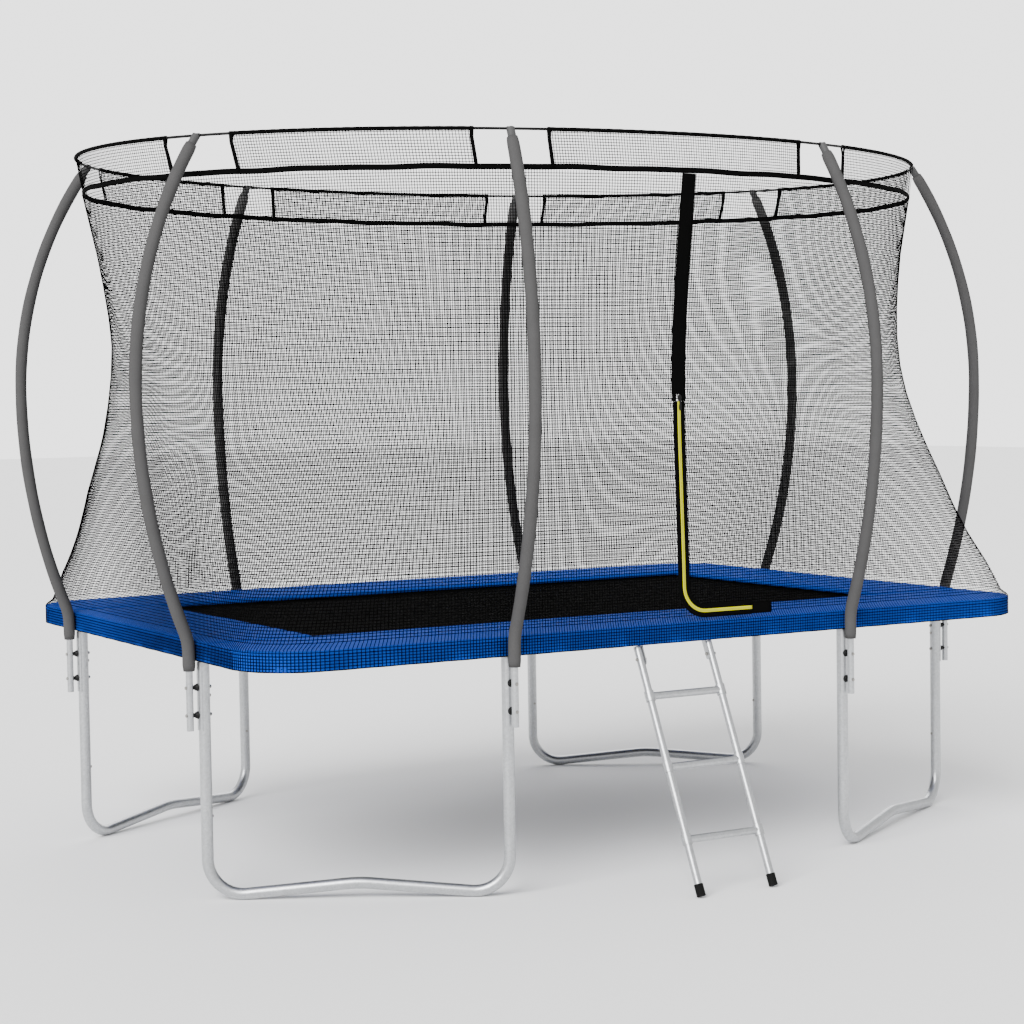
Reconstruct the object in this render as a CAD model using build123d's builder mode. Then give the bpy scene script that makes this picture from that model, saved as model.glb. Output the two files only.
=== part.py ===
from build123d import *
from math import acos, asin, atan, atan2, cos, degrees, hypot, radians, sin, sqrt
import os

# Rectangular trampoline with a curved-pole safety net and a ladder.
# Millimetres. +Z up, the floor is Z = 0. The origin is on the floor under the
# middle of the mat. +X runs along the long side, the ladder stands at -Y.

os.makedirs("parts", exist_ok=True)

# ---------------------------------------------------------------- frame
frame_length = 3315.0          # between the centre lines of the short sides
frame_width = 2367.0           # between the centre lines of the long sides
frame_height = 880.0           # centre line above the floor
frame_corner_radius = 215.0
tube_diameter = 42.0
tube_wall = 1.5
joint_gap = 0.4                # between pieces that meet or slide into each other

tee_length = 130.0
tee_wall = 2.0
stub_length = 172.0            # frame centre line to the stub's lower end
swage_length = 58.0            # part of an upright that goes into its neighbour

leg_spacing_short = 1285.0     # between the two legs of a short side
leg_spacing_long = 1476.0      # between the two legs of a long side
base_joint_height = 315.0
base_bend_radius = 125.0
base_slope = 0.09              # rise of the base towards its middle
base_crest_radius = 500.0

screw_radius = 2.5
screw_head_radius = 5.5
screw_head_height = 3.5
screw_length = 9.0
screw_drop = 18.0              # from the end of the outer tube

# ---------------------------------------------------------------- enclosure
pole_diameter = 25.0
pole_wall = 1.4
pole_clearance = 2.0           # foam sleeve to the padding's skirt
pole_bottom = 605.0
pole_kink_height = 885.0       # the pole starts to lean outwards here
pole_kink_radius = 180.0
pole_bow_height = 1800.0       # furthest out, and the joint of its two tubes
pole_bow_reach = 226.0         # leg centre line to pole centre line at the bow
pole_plug_length = 60.0
sleeve_diameter = 45.0
sleeve_bottom = 816.0
cap_diameter = 30.0
cap_length = 40.0
cap_roof = 15.0                # ring centre line to the end of the pole tube
sleeve_clearance = 0.3

clamp_heights = (757.0, 659.0)
spacer_height = 28.0
spacer_waist = 15.0
clamp_bolt_radius = 3.0
bolt_head_radius = 6.5
bolt_head_height = 4.0
nut_height = 5.0
saddle_thickness = 3.5
saddle_top = 845.0
saddle_half_angle = 48.0

ring_over_length = 148.0       # ring beyond the frame at each short side
ring_over_width = 75.0         # ring beyond the frame at each long side
ring_height = 2692.0
ring_rod_diameter = 10.0
ferrule_diameter = 13.0
ferrule_length = 90.0
clip_wall = 2.6
clip_length = 26.0
pole_lean_short = 73.11         # along the side, from the leg to the pole's top
pole_lean_long = 58.73

# ---------------------------------------------------------------- net
band_over_length = 123.5       # band beyond the frame at each short side
band_over_width = 84.0
band_height = 2560.0
band_tall = 21.0
band_thickness = 3.0
strap_width = 13.0
strap_thickness = 2.0
strap_angle_short = 5.6        # from the pole to the straps beside it
strap_angle_long = 4.6
net_thickness = 3.0
net_gap = 1.0                  # net edge to band and hem
hem_lift = 6.0                 # net's bottom hem above the padding
hem_tall = 16.0
hem_thickness = 6.0
net_inset = 9.0                # hem's outer face in from the pad's outer edge
net_lap_gap = 0.3              # pad skirt to the net that hangs over it
net_lap_thickness = 1.2

# ---------------------------------------------------------------- doorway
door_width = 307.0
door_sill = 12.0               # net left below the door
door_top = 1730.0
door_corner_radius = 115.0
door_gap = 3.0                 # all round the flap
zip_tape_width = 24.0
zip_tape_gap = 0.3
webbing_width = 60.0           # upright webbing above the zip
webbing_thickness = 1.6
webbing_gap = 1.0              # to the slider and to the end of the zip
zip_tape_thickness = 1.2
slider_size = (16.0, 7.0, 26.0)
slider_gap = 0.6
puller_width = 12.0
puller_length = 42.0
end_tab_length = 83.0
end_tab_width = 46.0

# ---------------------------------------------------------------- mat, springs, pad
mat_rise = 19.0                # top of the mat above the frame's centre line
mat_thickness = 2.0
mat_hem_width = 40.0
mat_hem_thickness = 4.0
mat_edge_inset = 2.0            # mat's edge inside its hem
spring_length = 170.0          # frame tube to V-ring
spring_diameter = 18.0
spring_drop = 4.0              # coil below the level of the V-rings
spring_pitch = 122.0
spring_hook_length = 22.0
spring_hook_radius = 2.0
vring_width = 34.0
vring_depth = 32.0
vring_wire = 4.0

pad_opening_length = 2554.0
pad_opening_width = 1523.0
pad_lift = 1.8                 # above the tee sockets
pad_thickness = 18.0
pad_edge_radius = 6.0
pad_seam_gap = 1.0
skirt_gap = 6.0                # frame tube to the skirt's inner face
skirt_thickness = 2.5
skirt_drop = 54.0              # below the padding's underside

# ---------------------------------------------------------------- ladder
ladder_x = -45.0
ladder_width = 310.0           # between rail centre lines
ladder_angle = 25.0            # from upright
rail_top_out = 8.0             # rail's top end from the frame tube's centre line
rail_top_drop = 36.0
rail_diameter = 28.0
rail_wall = 1.3
rung_diameter = 27.0
rung_spacing = 266.0           # along the rails
first_rung = 188.0             # along the rails, from their top end
socket_diameter = 35.0
socket_length = 38.0
foot_diameter = 33.0
foot_length = 42.0
foot_base = 8.0                # rubber under the rail's end
hook_thickness = 4.0
hook_clearance = 0.4
hook_depth = 3.0
flap_side_margin = 45.0        # skirt flap beyond the rails' outer faces
flap_gap = 1.5
flap_top_gap = 3.5
ladder_bolt_radius = 3.0
ladder_bolt_drop = 48.0        # along the rails, from their top end
hook_tab_width = 22.0
hook_tab_length = 66.0
hook_tab_rise = 8.0            # tab above the rails' top end

# ---------------------------------------------------------------- shared values
tube_radius = tube_diameter / 2
tube_bore = tube_radius - tube_wall
tee_bore = tube_radius + joint_gap / 2
tee_radius = tee_bore + tee_wall
swage_radius = tube_bore - joint_gap / 2
half_length = frame_length / 2
half_width = frame_width / 2
stub_bottom = frame_height - stub_length
skirt_inner = tube_radius + skirt_gap
skirt_outer = skirt_inner + skirt_thickness
pad_half_length = half_length + skirt_outer
pad_half_width = half_width + skirt_outer
pad_corner_radius = frame_corner_radius + skirt_outer
pad_underside = frame_height + tee_radius + pad_lift
pad_top = pad_underside + pad_thickness
skirt_bottom = pad_underside - skirt_drop
hem_height = pad_top + hem_lift
mat_height = frame_height + mat_rise
pole_offset = skirt_outer + pole_clearance + sleeve_diameter / 2   # leg to pole
ring_length = frame_length + 2 * ring_over_length
ring_width = frame_width + 2 * ring_over_width
band_length = frame_length + 2 * band_over_length
band_width = frame_width + 2 * band_over_width
# ellipse angles at which the poles meet the ring
pole_angle_short = degrees(asin((leg_spacing_short - 2 * pole_lean_short) / ring_width))
pole_angle_long = degrees(acos((leg_spacing_long - 2 * pole_lean_long) / ring_length))
mat_half_length = half_length - tube_radius - spring_length - vring_depth
mat_half_width = half_width - tube_radius - spring_length - vring_depth
net_half_length = pad_half_length - net_inset - hem_thickness / 2
net_half_width = pad_half_width - net_inset - hem_thickness / 2
net_bottom = hem_height + hem_tall + net_gap
net_top = band_height - band_tall / 2 - net_gap
pole_radius = pole_diameter / 2

# the eight legs: name, foot point, outward direction, ring angle of its pole
leg_sites = []
for side_y, word_y in ((-1, "front"), (1, "back")):
    for side_x, word_x in ((-1, "left"), (1, "right")):
        short_angle = pole_angle_short if side_x > 0 else 180 - pole_angle_short
        long_angle = pole_angle_long if side_x > 0 else 180 - pole_angle_long
        leg_sites.append((
            f"{word_y}_{word_x}_end",
            Vector(side_x * half_length, side_y * leg_spacing_short / 2, 0),
            Vector(side_x, 0, 0),
            side_y * short_angle,
        ))
        leg_sites.append((
            f"{word_y}_{word_x}_side",
            Vector(side_x * leg_spacing_long / 2, side_y * half_width, 0),
            Vector(0, side_y, 0),
            side_y * long_angle,
        ))


def keep(piece, name):
    """Label a finished piece and write it as its own file."""
    piece.part.label = name
    export_step(piece.part, f"parts/{name}.step")


def upright_plane(point, out):
    """Plane through a leg: local x points outwards, local y points up."""
    return Plane(origin=point, x_dir=out, z_dir=out.cross(Vector(0, 0, 1)))


def across_plane(point, height, out):
    """Plane square to the outward direction at a height, local x level."""
    return Plane(origin=point + Vector(0, 0, height), x_dir=out.cross(Vector(0, 0, 1)), z_dir=out)


def ellipse_point(length, width, height, angle):
    """Point of a level ellipse at an ellipse angle in degrees."""
    turn = radians(angle)
    return Vector(length / 2 * cos(turn), width / 2 * sin(turn), height)


# ---------------------------------------------------------------- frame tubes
def frame_tube(name, path_points, corner_radius=None):
    """A run of frame tube, straight or with one bend."""
    start = path_points[0]
    direction = path_points[1] - start
    with BuildPart() as piece:
        with BuildLine() as path:
            if corner_radius is None:
                Line(*path_points)
            else:
                FilletPolyline(*path_points, radius=corner_radius)
        with BuildSketch(Plane(origin=start, z_dir=direction)):
            Circle(tube_radius)
            Circle(tube_bore, mode=Mode.SUBTRACT)
        sweep(path=path.wires()[0])
    keep(piece, name)


def make_frame():
    end_gap = joint_gap / 2
    leg_x = leg_spacing_long / 2
    leg_y = leg_spacing_short / 2
    for side_y, word_y in ((-1, "front"), (1, "back")):
        y = side_y * half_width
        frame_tube(f"frame_rail_{word_y}", [
            Vector(-leg_x + end_gap, y, frame_height),
            Vector(leg_x - end_gap, y, frame_height),
        ])
        for side_x, word_x in ((-1, "left"), (1, "right")):
            x = side_x * half_length
            frame_tube(f"frame_corner_{word_y}_{word_x}", [
                Vector(side_x * (leg_x + end_gap), y, frame_height),
                Vector(x, y, frame_height),
                Vector(x, side_y * (leg_y + end_gap), frame_height),
            ], frame_corner_radius)
    for side_x, word_x in ((-1, "left"), (1, "right")):
        x = side_x * half_length
        frame_tube(f"frame_rail_{word_x}", [
            Vector(x, -leg_y + end_gap, frame_height),
            Vector(x, leg_y - end_gap, frame_height),
        ])


def make_tee_sockets():
    """Sleeves on the frame tube, each with a stub that takes a leg."""
    with BuildPart() as tees:
        for _, point, out, _ in leg_sites:
            along = out.cross(Vector(0, 0, 1))
            centre = point + Vector(0, 0, frame_height)
            sleeve_plane = Plane(origin=centre - along * tee_length / 2, z_dir=along)
            with BuildSketch(Plane.XY.offset(stub_bottom)):
                with Locations((point.X, point.Y)):
                    Circle(tube_radius)
            extrude(amount=frame_height - stub_bottom)
            with BuildSketch(sleeve_plane):
                Circle(tee_radius)
            extrude(amount=tee_length)
            with BuildSketch(sleeve_plane):
                Circle(tee_bore)
            extrude(amount=tee_length, mode=Mode.SUBTRACT)
            with BuildSketch(Plane.XY.offset(stub_bottom)):
                with Locations((point.X, point.Y)):
                    Circle(tube_bore)
            extrude(amount=frame_height - tee_radius - stub_bottom, mode=Mode.SUBTRACT)
            with BuildSketch(across_plane(point - out * tube_diameter, clamp_heights[0], out)):
                Circle(clamp_bolt_radius + joint_gap)
            extrude(amount=2 * tube_diameter, mode=Mode.SUBTRACT)
    keep(tees, "tee_sockets")


def make_leg_uprights():
    """Straight tubes with a swaged spigot at both ends."""
    with BuildPart() as uprights:
        for _, point, out, _ in leg_sites:
            at = Locations((point.X, point.Y))
            bottom = base_joint_height + joint_gap / 2
            top = stub_bottom - joint_gap / 2
            with BuildSketch(Plane.XY.offset(bottom)):
                with at:
                    Circle(tube_radius)
            extrude(amount=top - bottom)
            with BuildSketch(Plane.XY.offset(bottom - swage_length)):
                with at:
                    Circle(swage_radius)
            extrude(amount=top - bottom + 2 * swage_length)
            with BuildSketch(Plane.XY.offset(bottom - swage_length)):
                with at:
                    Circle(swage_radius - tube_wall)
            extrude(amount=top - bottom + 2 * swage_length, mode=Mode.SUBTRACT)
            for height in clamp_heights:
                with BuildSketch(across_plane(point - out * tube_diameter, height, out)):
                    Circle(clamp_bolt_radius + joint_gap)
                extrude(amount=2 * tube_diameter, mode=Mode.SUBTRACT)
    keep(uprights, "leg_uprights")


def make_leg_bases():
    """A wide U round each corner, low beside both bends and raised in its middle."""
    for side_y, word_y in ((-1, "front"), (1, "back")):
        for side_x, word_x in ((-1, "left"), (1, "right")):
            first = Vector(side_x * half_length, side_y * leg_spacing_short / 2, 0)
            last = Vector(side_x * leg_spacing_long / 2, side_y * half_width, 0)
            span = (last - first).length
            middle = (first + last) / 2
            stretch = sqrt(1 + base_slope ** 2)
            corner_z = tube_radius + base_bend_radius * (1 - stretch - base_slope)
            crest_z = corner_z + base_slope * span / 2
            up = Vector(0, 0, 1)
            with BuildPart() as base:
                with BuildLine() as path:
                    FilletPolyline(
                        first + up * base_joint_height,
                        first + up * corner_z,
                        middle + up * crest_z,
                        last + up * corner_z,
                        last + up * base_joint_height,
                        radius=(base_bend_radius, base_crest_radius, base_bend_radius),
                    )
                with BuildSketch(Plane(origin=first + up * base_joint_height, z_dir=(0, 0, -1))):
                    Circle(tube_radius)
                    Circle(tube_bore, mode=Mode.SUBTRACT)
                sweep(path=path.wires()[0])
            keep(base, f"leg_base_{word_y}_{word_x}")


def make_frame_screws():
    """One self-drilling screw at each tube joint, on the side that faces in."""
    seats = []
    for _, point, out, _ in leg_sites:
        along = out.cross(Vector(0, 0, 1))
        for height in (stub_bottom + screw_drop, base_joint_height - screw_drop):
            seats.append((point + Vector(0, 0, height) - out * tube_radius, -out))
        for side in (-1, 1):
            centre = point + Vector(0, 0, frame_height) + along * side * (tee_length / 2 - screw_drop)
            seats.append((centre - out * tee_radius, -out))
    with BuildPart() as screws:
        for seat, out in seats:
            with BuildSketch(Plane(origin=seat, z_dir=out)):
                RegularPolygon(screw_head_radius, 6)
            extrude(amount=screw_head_height)
            with BuildSketch(Plane(origin=seat, z_dir=-out)):
                Circle(screw_radius)
            extrude(amount=screw_length - screw_head_height)
    keep(screws, "frame_screws")


# ---------------------------------------------------------------- curved poles
def pole_lean():
    """Angle from upright just above the kink."""
    return 2 * atan((pole_bow_reach - pole_offset) / (pole_bow_height - pole_kink_height))


def lower_pole_path(start_height):
    """Upright, kink and lower bow, in a leg's own plane (x out, y up)."""
    lean = pole_lean()
    bow_radius = (pole_bow_height - pole_kink_height) / sin(lean) - pole_kink_radius

    def kink(turn):
        return (
            pole_offset + pole_kink_radius * (1 - cos(turn)),
            pole_kink_height + pole_kink_radius * sin(turn),
        )

    def bow(turn):
        return (
            pole_bow_reach - bow_radius * (1 - cos(turn)),
            pole_bow_height - bow_radius * sin(turn),
        )

    Line((pole_offset, start_height), (pole_offset, pole_kink_height))
    ThreePointArc(kink(0), kink(lean / 2), kink(lean))
    ThreePointArc(bow(lean), bow(lean / 2), bow(0))


def upper_pole_frame(point, out, ring_angle):
    """Bow point, plane, radius and full turn of a pole's upper arc."""
    tip = ellipse_point(ring_length, ring_width, ring_height, ring_angle)
    bow = point + out * pole_bow_reach + Vector(0, 0, pole_bow_height)
    inward = Vector(tip.X - bow.X, tip.Y - bow.Y, 0)
    rise = ring_height - pole_bow_height
    turn = 2 * atan(inward.length / rise)
    radius = rise / sin(turn)
    plane = Plane(origin=bow, x_dir=inward, z_dir=inward.cross(Vector(0, 0, 1)))
    return bow, plane, radius, turn


def upper_arc(radius, turn):
    """Arc that starts upright at its plane's origin and leans towards local x."""
    half = turn / 2
    ThreePointArc(
        (0, 0),
        (radius * (1 - cos(half)), radius * sin(half)),
        (radius * (1 - cos(turn)), radius * sin(turn)),
    )


def make_pole_lowers():
    """Lower pole tubes, each with a spigot for the upper tube."""
    spigot_radius = pole_radius - pole_wall - joint_gap / 2
    with BuildPart() as lowers:
        for _, point, out, ring_angle in leg_sites:
            with BuildLine(upright_plane(point, out)) as lower_path:
                lower_pole_path(pole_bottom)
            with BuildSketch(Plane.XY.offset(pole_bottom)):
                with Locations(tuple(point + out * pole_offset)[:2]):
                    Circle(pole_radius)
                    Circle(pole_radius - pole_wall, mode=Mode.SUBTRACT)
            sweep(path=lower_path.wires()[0])
            bow, plane, radius, turn = upper_pole_frame(point, out, ring_angle)
            with BuildLine(plane) as spigot_path:
                upper_arc(radius, pole_plug_length / radius)
            with BuildSketch(Plane.XY.offset(pole_bow_height)):
                with Locations((bow.X, bow.Y)):
                    Circle(spigot_radius)
            sweep(path=spigot_path.wires()[0])
            with BuildSketch(Plane.XY.offset(pole_bow_height)):
                with Locations((bow.X, bow.Y)):
                    Circle(pole_radius - pole_wall / 2)
            extrude(amount=-2 * pole_wall)
            for height in clamp_heights:
                with BuildSketch(across_plane(point + out * tube_radius, height, out)):
                    Circle(clamp_bolt_radius + joint_gap)
                extrude(amount=pole_offset, mode=Mode.SUBTRACT)
    keep(lowers, "pole_lowers")


def make_pole_uppers():
    """Upper pole tubes, from the bow to their end caps."""
    with BuildPart() as uppers:
        for _, point, out, ring_angle in leg_sites:
            bow, plane, radius, turn = upper_pole_frame(point, out, ring_angle)
            with BuildLine(plane) as path:
                upper_arc(radius, turn - cap_roof / radius)
            with BuildSketch(Plane.XY.offset(pole_bow_height)):
                with Locations((bow.X, bow.Y)):
                    Circle(pole_radius)
                    Circle(pole_radius - pole_wall, mode=Mode.SUBTRACT)
            sweep(path=path.wires()[0])
            with BuildSketch(Plane.XY.offset(pole_bow_height)):
                with Locations((bow.X, bow.Y)):
                    Circle(pole_diameter)
            extrude(amount=joint_gap / 2, mode=Mode.SUBTRACT)
    keep(uppers, "pole_uppers")


def make_foam_sleeves():
    """Foam tube over each pole, from below the pad to its end cap."""
    bore_radius = pole_radius + sleeve_clearance
    for site, point, out, ring_angle in leg_sites:
        with BuildPart() as sleeve:
            with BuildLine(upright_plane(point, out)) as lower_path:
                lower_pole_path(sleeve_bottom)
            with BuildSketch(Plane.XY.offset(sleeve_bottom)):
                with Locations(tuple(point + out * pole_offset)[:2]):
                    Circle(sleeve_diameter / 2)
                    Circle(bore_radius, mode=Mode.SUBTRACT)
            sweep(path=lower_path.wires()[0])
            bow, plane, radius, turn = upper_pole_frame(point, out, ring_angle)
            with BuildLine(plane) as upper_path:
                upper_arc(radius, turn - (cap_length + joint_gap) / radius)
            with BuildSketch(Plane.XY.offset(pole_bow_height)):
                with Locations((bow.X, bow.Y)):
                    Circle(sleeve_diameter / 2)
                    Circle(bore_radius, mode=Mode.SUBTRACT)
            sweep(path=upper_path.wires()[0])
        keep(sleeve, f"foam_sleeve_{site}")


def make_pole_caps():
    """Cups over the pole ends, each with a clip round the ring."""
    clip_bore = ring_rod_diameter / 2 + joint_gap
    with BuildPart() as caps:
        for _, point, out, ring_angle in leg_sites:
            bow, plane, radius, turn = upper_pole_frame(point, out, ring_angle)
            tip = ellipse_point(ring_length, ring_width, ring_height, ring_angle)
            rising = plane.x_dir * sin(turn) + Vector(0, 0, 1) * cos(turn)
            angle = radians(ring_angle)
            along = Vector(-ring_length * sin(angle), ring_width * cos(angle), 0).normalized()
            cup_plane = Plane(origin=tip - rising * cap_length, z_dir=rising)
            clip_plane = Plane(origin=tip - along * clip_length / 2, z_dir=along)
            with BuildSketch(cup_plane):
                Circle(cap_diameter / 2)
            extrude(amount=cap_length)
            with BuildSketch(clip_plane):
                Circle(clip_bore + clip_wall)
            extrude(amount=clip_length)
            with BuildSketch(clip_plane.offset(-clip_length)):
                Circle(clip_bore)
            extrude(amount=3 * clip_length, mode=Mode.SUBTRACT)
            with BuildSketch(cup_plane):
                Circle(pole_radius + 2 * joint_gap)
            extrude(amount=cap_length - cap_roof + joint_gap, mode=Mode.SUBTRACT)
    keep(caps, "pole_caps")


def make_clamps():
    """Saddles, spacers, bolts and nuts that hold the poles to the legs."""
    up = Vector(0, 0, 1)
    saddle_outer = tube_radius + joint_gap / 2 + saddle_thickness
    spacer_start = saddle_outer + joint_gap / 2
    spacer_end = pole_offset
    with BuildPart() as saddles:
        for _, point, out, _ in leg_sites:
            facing = degrees(atan2(out.Y, out.X))
            with BuildSketch(Plane.XY.offset(pole_bottom)):
                with Locations((point.X, point.Y)):
                    Circle(saddle_outer)
                    Circle(tube_radius + joint_gap / 2, mode=Mode.SUBTRACT)
                with Locations(Location((point.X, point.Y, 0), facing)):
                    Rectangle(2 * tube_diameter, 2 * saddle_outer * sin(radians(saddle_half_angle)),
                              mode=Mode.INTERSECT)
                    Rectangle(2 * saddle_outer, 2 * saddle_outer, align=(Align.MAX, Align.CENTER),
                              mode=Mode.SUBTRACT)
            extrude(amount=saddle_top - pole_bottom)
            for height in clamp_heights:
                with BuildSketch(across_plane(point, height, out)):
                    Circle(clamp_bolt_radius + joint_gap)
                extrude(amount=tube_diameter, mode=Mode.SUBTRACT)
    keep(saddles, "leg_saddles")

    with BuildPart() as spacers:
        for _, point, out, _ in leg_sites:
            for height in clamp_heights:
                with BuildSketch(across_plane(point + out * spacer_start, height, out)):
                    Circle(spacer_height / 2)
                extrude(amount=(spacer_end - spacer_start) / 3, taper=24)
                with BuildSketch(across_plane(point + out * spacer_start, height, out)):
                    Circle(spacer_waist / 2)
                extrude(amount=spacer_end - spacer_start)
                with BuildSketch(across_plane(point + out * spacer_end, height, -out)):
                    Circle(pole_radius)
                extrude(amount=(spacer_end - spacer_start) / 2, taper=20)
            with BuildSketch(Plane.XY.offset(pole_bottom)):
                with Locations(tuple(point + out * pole_offset)[:2]):
                    Circle(pole_radius + joint_gap / 4)
            extrude(amount=clamp_heights[0] - pole_bottom + spacer_height, mode=Mode.SUBTRACT)
            with BuildSketch(Plane.XY.offset(pole_bottom)):
                with Locations((point.X, point.Y)):
                    Circle(saddle_outer + joint_gap / 4)
            extrude(amount=clamp_heights[0] - pole_bottom + spacer_height, mode=Mode.SUBTRACT)
            for height in clamp_heights:
                with BuildSketch(across_plane(point, height, out)):
                    Circle(clamp_bolt_radius + joint_gap)
                extrude(amount=pole_offset, mode=Mode.SUBTRACT)
    keep(spacers, "clamp_spacers")

    bolt_start = pole_offset + pole_radius + joint_gap / 4
    bolt_end = -tube_radius - joint_gap / 4
    with BuildPart() as bolts:
        for _, point, out, _ in leg_sites:
            for height in clamp_heights:
                with BuildSketch(across_plane(point + out * bolt_start, height, out)):
                    Circle(bolt_head_radius)
                extrude(amount=bolt_head_height, taper=20)
                with BuildSketch(across_plane(point + out * bolt_start, height, -out)):
                    Circle(clamp_bolt_radius)
                extrude(amount=bolt_start - bolt_end + nut_height + 2)
    keep(bolts, "clamp_bolts")

    with BuildPart() as nuts:
        for _, point, out, _ in leg_sites:
            for height in clamp_heights:
                with BuildSketch(across_plane(point + out * bolt_end, height, -out)):
                    RegularPolygon(bolt_head_radius, 6)
                    Circle(clamp_bolt_radius + joint_gap / 4, mode=Mode.SUBTRACT)
                extrude(amount=nut_height)
    keep(nuts, "clamp_nuts")


# ---------------------------------------------------------------- top ring
def ring_speed(angle):
    """Millimetres of ring per radian of ellipse angle."""
    turn = radians(angle)
    return hypot(ring_length / 2 * sin(turn), ring_width / 2 * cos(turn))


def ring_span(start, end, outer, inner=None):
    """Solid or hollow round bar along part of the ring."""
    first = ellipse_point(ring_length, ring_width, ring_height, start)
    turn = radians(start)
    heading = Vector(-ring_length * sin(turn), ring_width * cos(turn), 0)
    with BuildLine(Plane.XY.offset(ring_height)) as path:
        EllipticalCenterArc((0, 0), ring_length / 2, ring_width / 2, start, arc_size=end - start)
    with BuildSketch(Plane(origin=first, z_dir=heading)) as section:
        Circle(outer)
        if inner:
            Circle(inner, mode=Mode.SUBTRACT)
    sweep(section.sketch, path=path.wires()[0])


def make_ring():
    middle = (pole_angle_short + pole_angle_long) / 2
    joints = [0, middle, 90, 180 - middle, 180, 180 + middle, 270, 360 - middle, 360]
    with BuildPart() as rods:
        for start, end in zip(joints[:-1], joints[1:]):
            trim_start = degrees(joint_gap / ring_speed(start))
            trim_end = degrees(joint_gap / ring_speed(end))
            ring_span(start + trim_start, end - trim_end, ring_rod_diameter / 2)
    keep(rods, "ring_rods")

    with BuildPart() as ferrules:
        for angle in joints[:-1]:
            half = degrees(ferrule_length / 2 / ring_speed(angle))
            ring_span(angle - half, angle + half, ferrule_diameter / 2,
                      ring_rod_diameter / 2 + joint_gap / 4)
    keep(ferrules, "ring_ferrules")


# ---------------------------------------------------------------- net
# share of the net's height, growth towards the band's size, squareness of the outline
net_profile = (
    (0.0, 0.0, 12.0),
    (0.12, -0.06, 6.0),
    (0.30, -0.15, 3.6),
    (0.49, -0.245, 2.6),
    (0.62, -0.17, 2.3),
    (0.81, 0.31, 2.08),
    (1.0, 1.0, 2.0),
)


def net_point(angle, half_length, half_width, squareness, height):
    """Point of the net's level outline in the direction of an ellipse angle."""
    turn = radians(angle)
    reach = (abs(cos(turn)) ** squareness + abs(sin(turn)) ** squareness) ** (-1 / squareness)
    return Vector(half_length * cos(turn) * reach, half_width * sin(turn) * reach, height)


def wall_outline(start, end, levels, inner, outer, steps):
    """Closed outlines of a thin upright wall, one at each level."""
    outlines = []
    for half_length, half_width, squareness, height in levels:
        angles = [start + (end - start) * step / steps for step in range(steps + 1)]
        outside = [net_point(a, half_length + outer, half_width + outer, squareness, height) for a in angles]
        inside = [net_point(a, half_length + inner, half_width + inner, squareness, height) for a in angles]
        outlines.append(outside + inside[::-1])
    return outlines


def thin_wall(start, end, levels, inner, outer, steps):
    """Add a thin wall with flat facets to the open part."""
    sections = [
        Face(Wire.make_polygon(outline, close=True))
        for outline in wall_outline(start, end, levels, inner, outer, steps)
    ]
    loft(sections=sections, ruled=True)


def main_net_levels():
    """Outline sizes of the main net from its hem to the band."""
    levels = []
    for share, growth, squareness in net_profile:
        levels.append((
            net_half_length + growth * (band_length / 2 - net_half_length),
            net_half_width + growth * (band_width / 2 - net_half_width),
            squareness,
            net_bottom + share * (net_top - net_bottom),
        ))
    return levels


def make_net_edges():
    """Band webbing below the ring, and the hem round the pad's outer edge."""
    with BuildPart() as band:
        with BuildSketch(Plane.XY.offset(band_height - band_tall / 2)):
            Ellipse(band_length / 2 + band_thickness / 2, band_width / 2 + band_thickness / 2)
            Ellipse(band_length / 2 - band_thickness / 2, band_width / 2 - band_thickness / 2,
                    mode=Mode.SUBTRACT)
        extrude(amount=band_tall)
    keep(band, "net_band")

    outer_length = 2 * net_half_length + hem_thickness
    outer_width = 2 * net_half_width + hem_thickness
    corner = pad_corner_radius - net_inset
    hem_inside = (outer_length - 2 * hem_thickness, outer_width - 2 * hem_thickness, corner - hem_thickness)
    lap = net_lap_gap + net_lap_thickness
    flap_start, flap_end = flap_span()
    with BuildPart() as hem:
        with BuildSketch(Plane.XY.offset(hem_height)):
            RectangleRounded(outer_length, outer_width, corner)
            RectangleRounded(*hem_inside, mode=Mode.SUBTRACT)
        extrude(amount=hem_tall)
        with BuildSketch(Plane.XY.offset(hem_height - net_lap_thickness)):
            RectangleRounded(2 * (pad_half_length + lap), 2 * (pad_half_width + lap), pad_corner_radius + lap)
            RectangleRounded(*hem_inside, mode=Mode.SUBTRACT)
        extrude(amount=net_lap_thickness)
        with BuildSketch(Plane.XY.offset(skirt_bottom + net_lap_gap)):
            RectangleRounded(2 * (pad_half_length + lap), 2 * (pad_half_width + lap), pad_corner_radius + lap)
            RectangleRounded(2 * (pad_half_length + net_lap_gap), 2 * (pad_half_width + net_lap_gap),
                             pad_corner_radius + net_lap_gap, mode=Mode.SUBTRACT)
            with Locations(((flap_start + flap_end) / 2, -pad_half_width)):
                Rectangle(flap_end - flap_start + 2 * flap_gap, 8 * lap, mode=Mode.SUBTRACT)
        extrude(amount=hem_height - net_lap_thickness / 2 - skirt_bottom - net_lap_gap)
    keep(hem, "net_hem")


def pole_angles():
    """Ellipse angles of the poles, counted once round, with the spread of their straps."""
    short, long = pole_angle_short, pole_angle_long
    angles = [short, long, 180 - long, 180 - short, 180 + short, 180 + long, 360 - long, 360 - short]
    spreads = [strap_angle_short, strap_angle_long, strap_angle_long, strap_angle_short] * 2
    return list(zip(angles, spreads))


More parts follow.
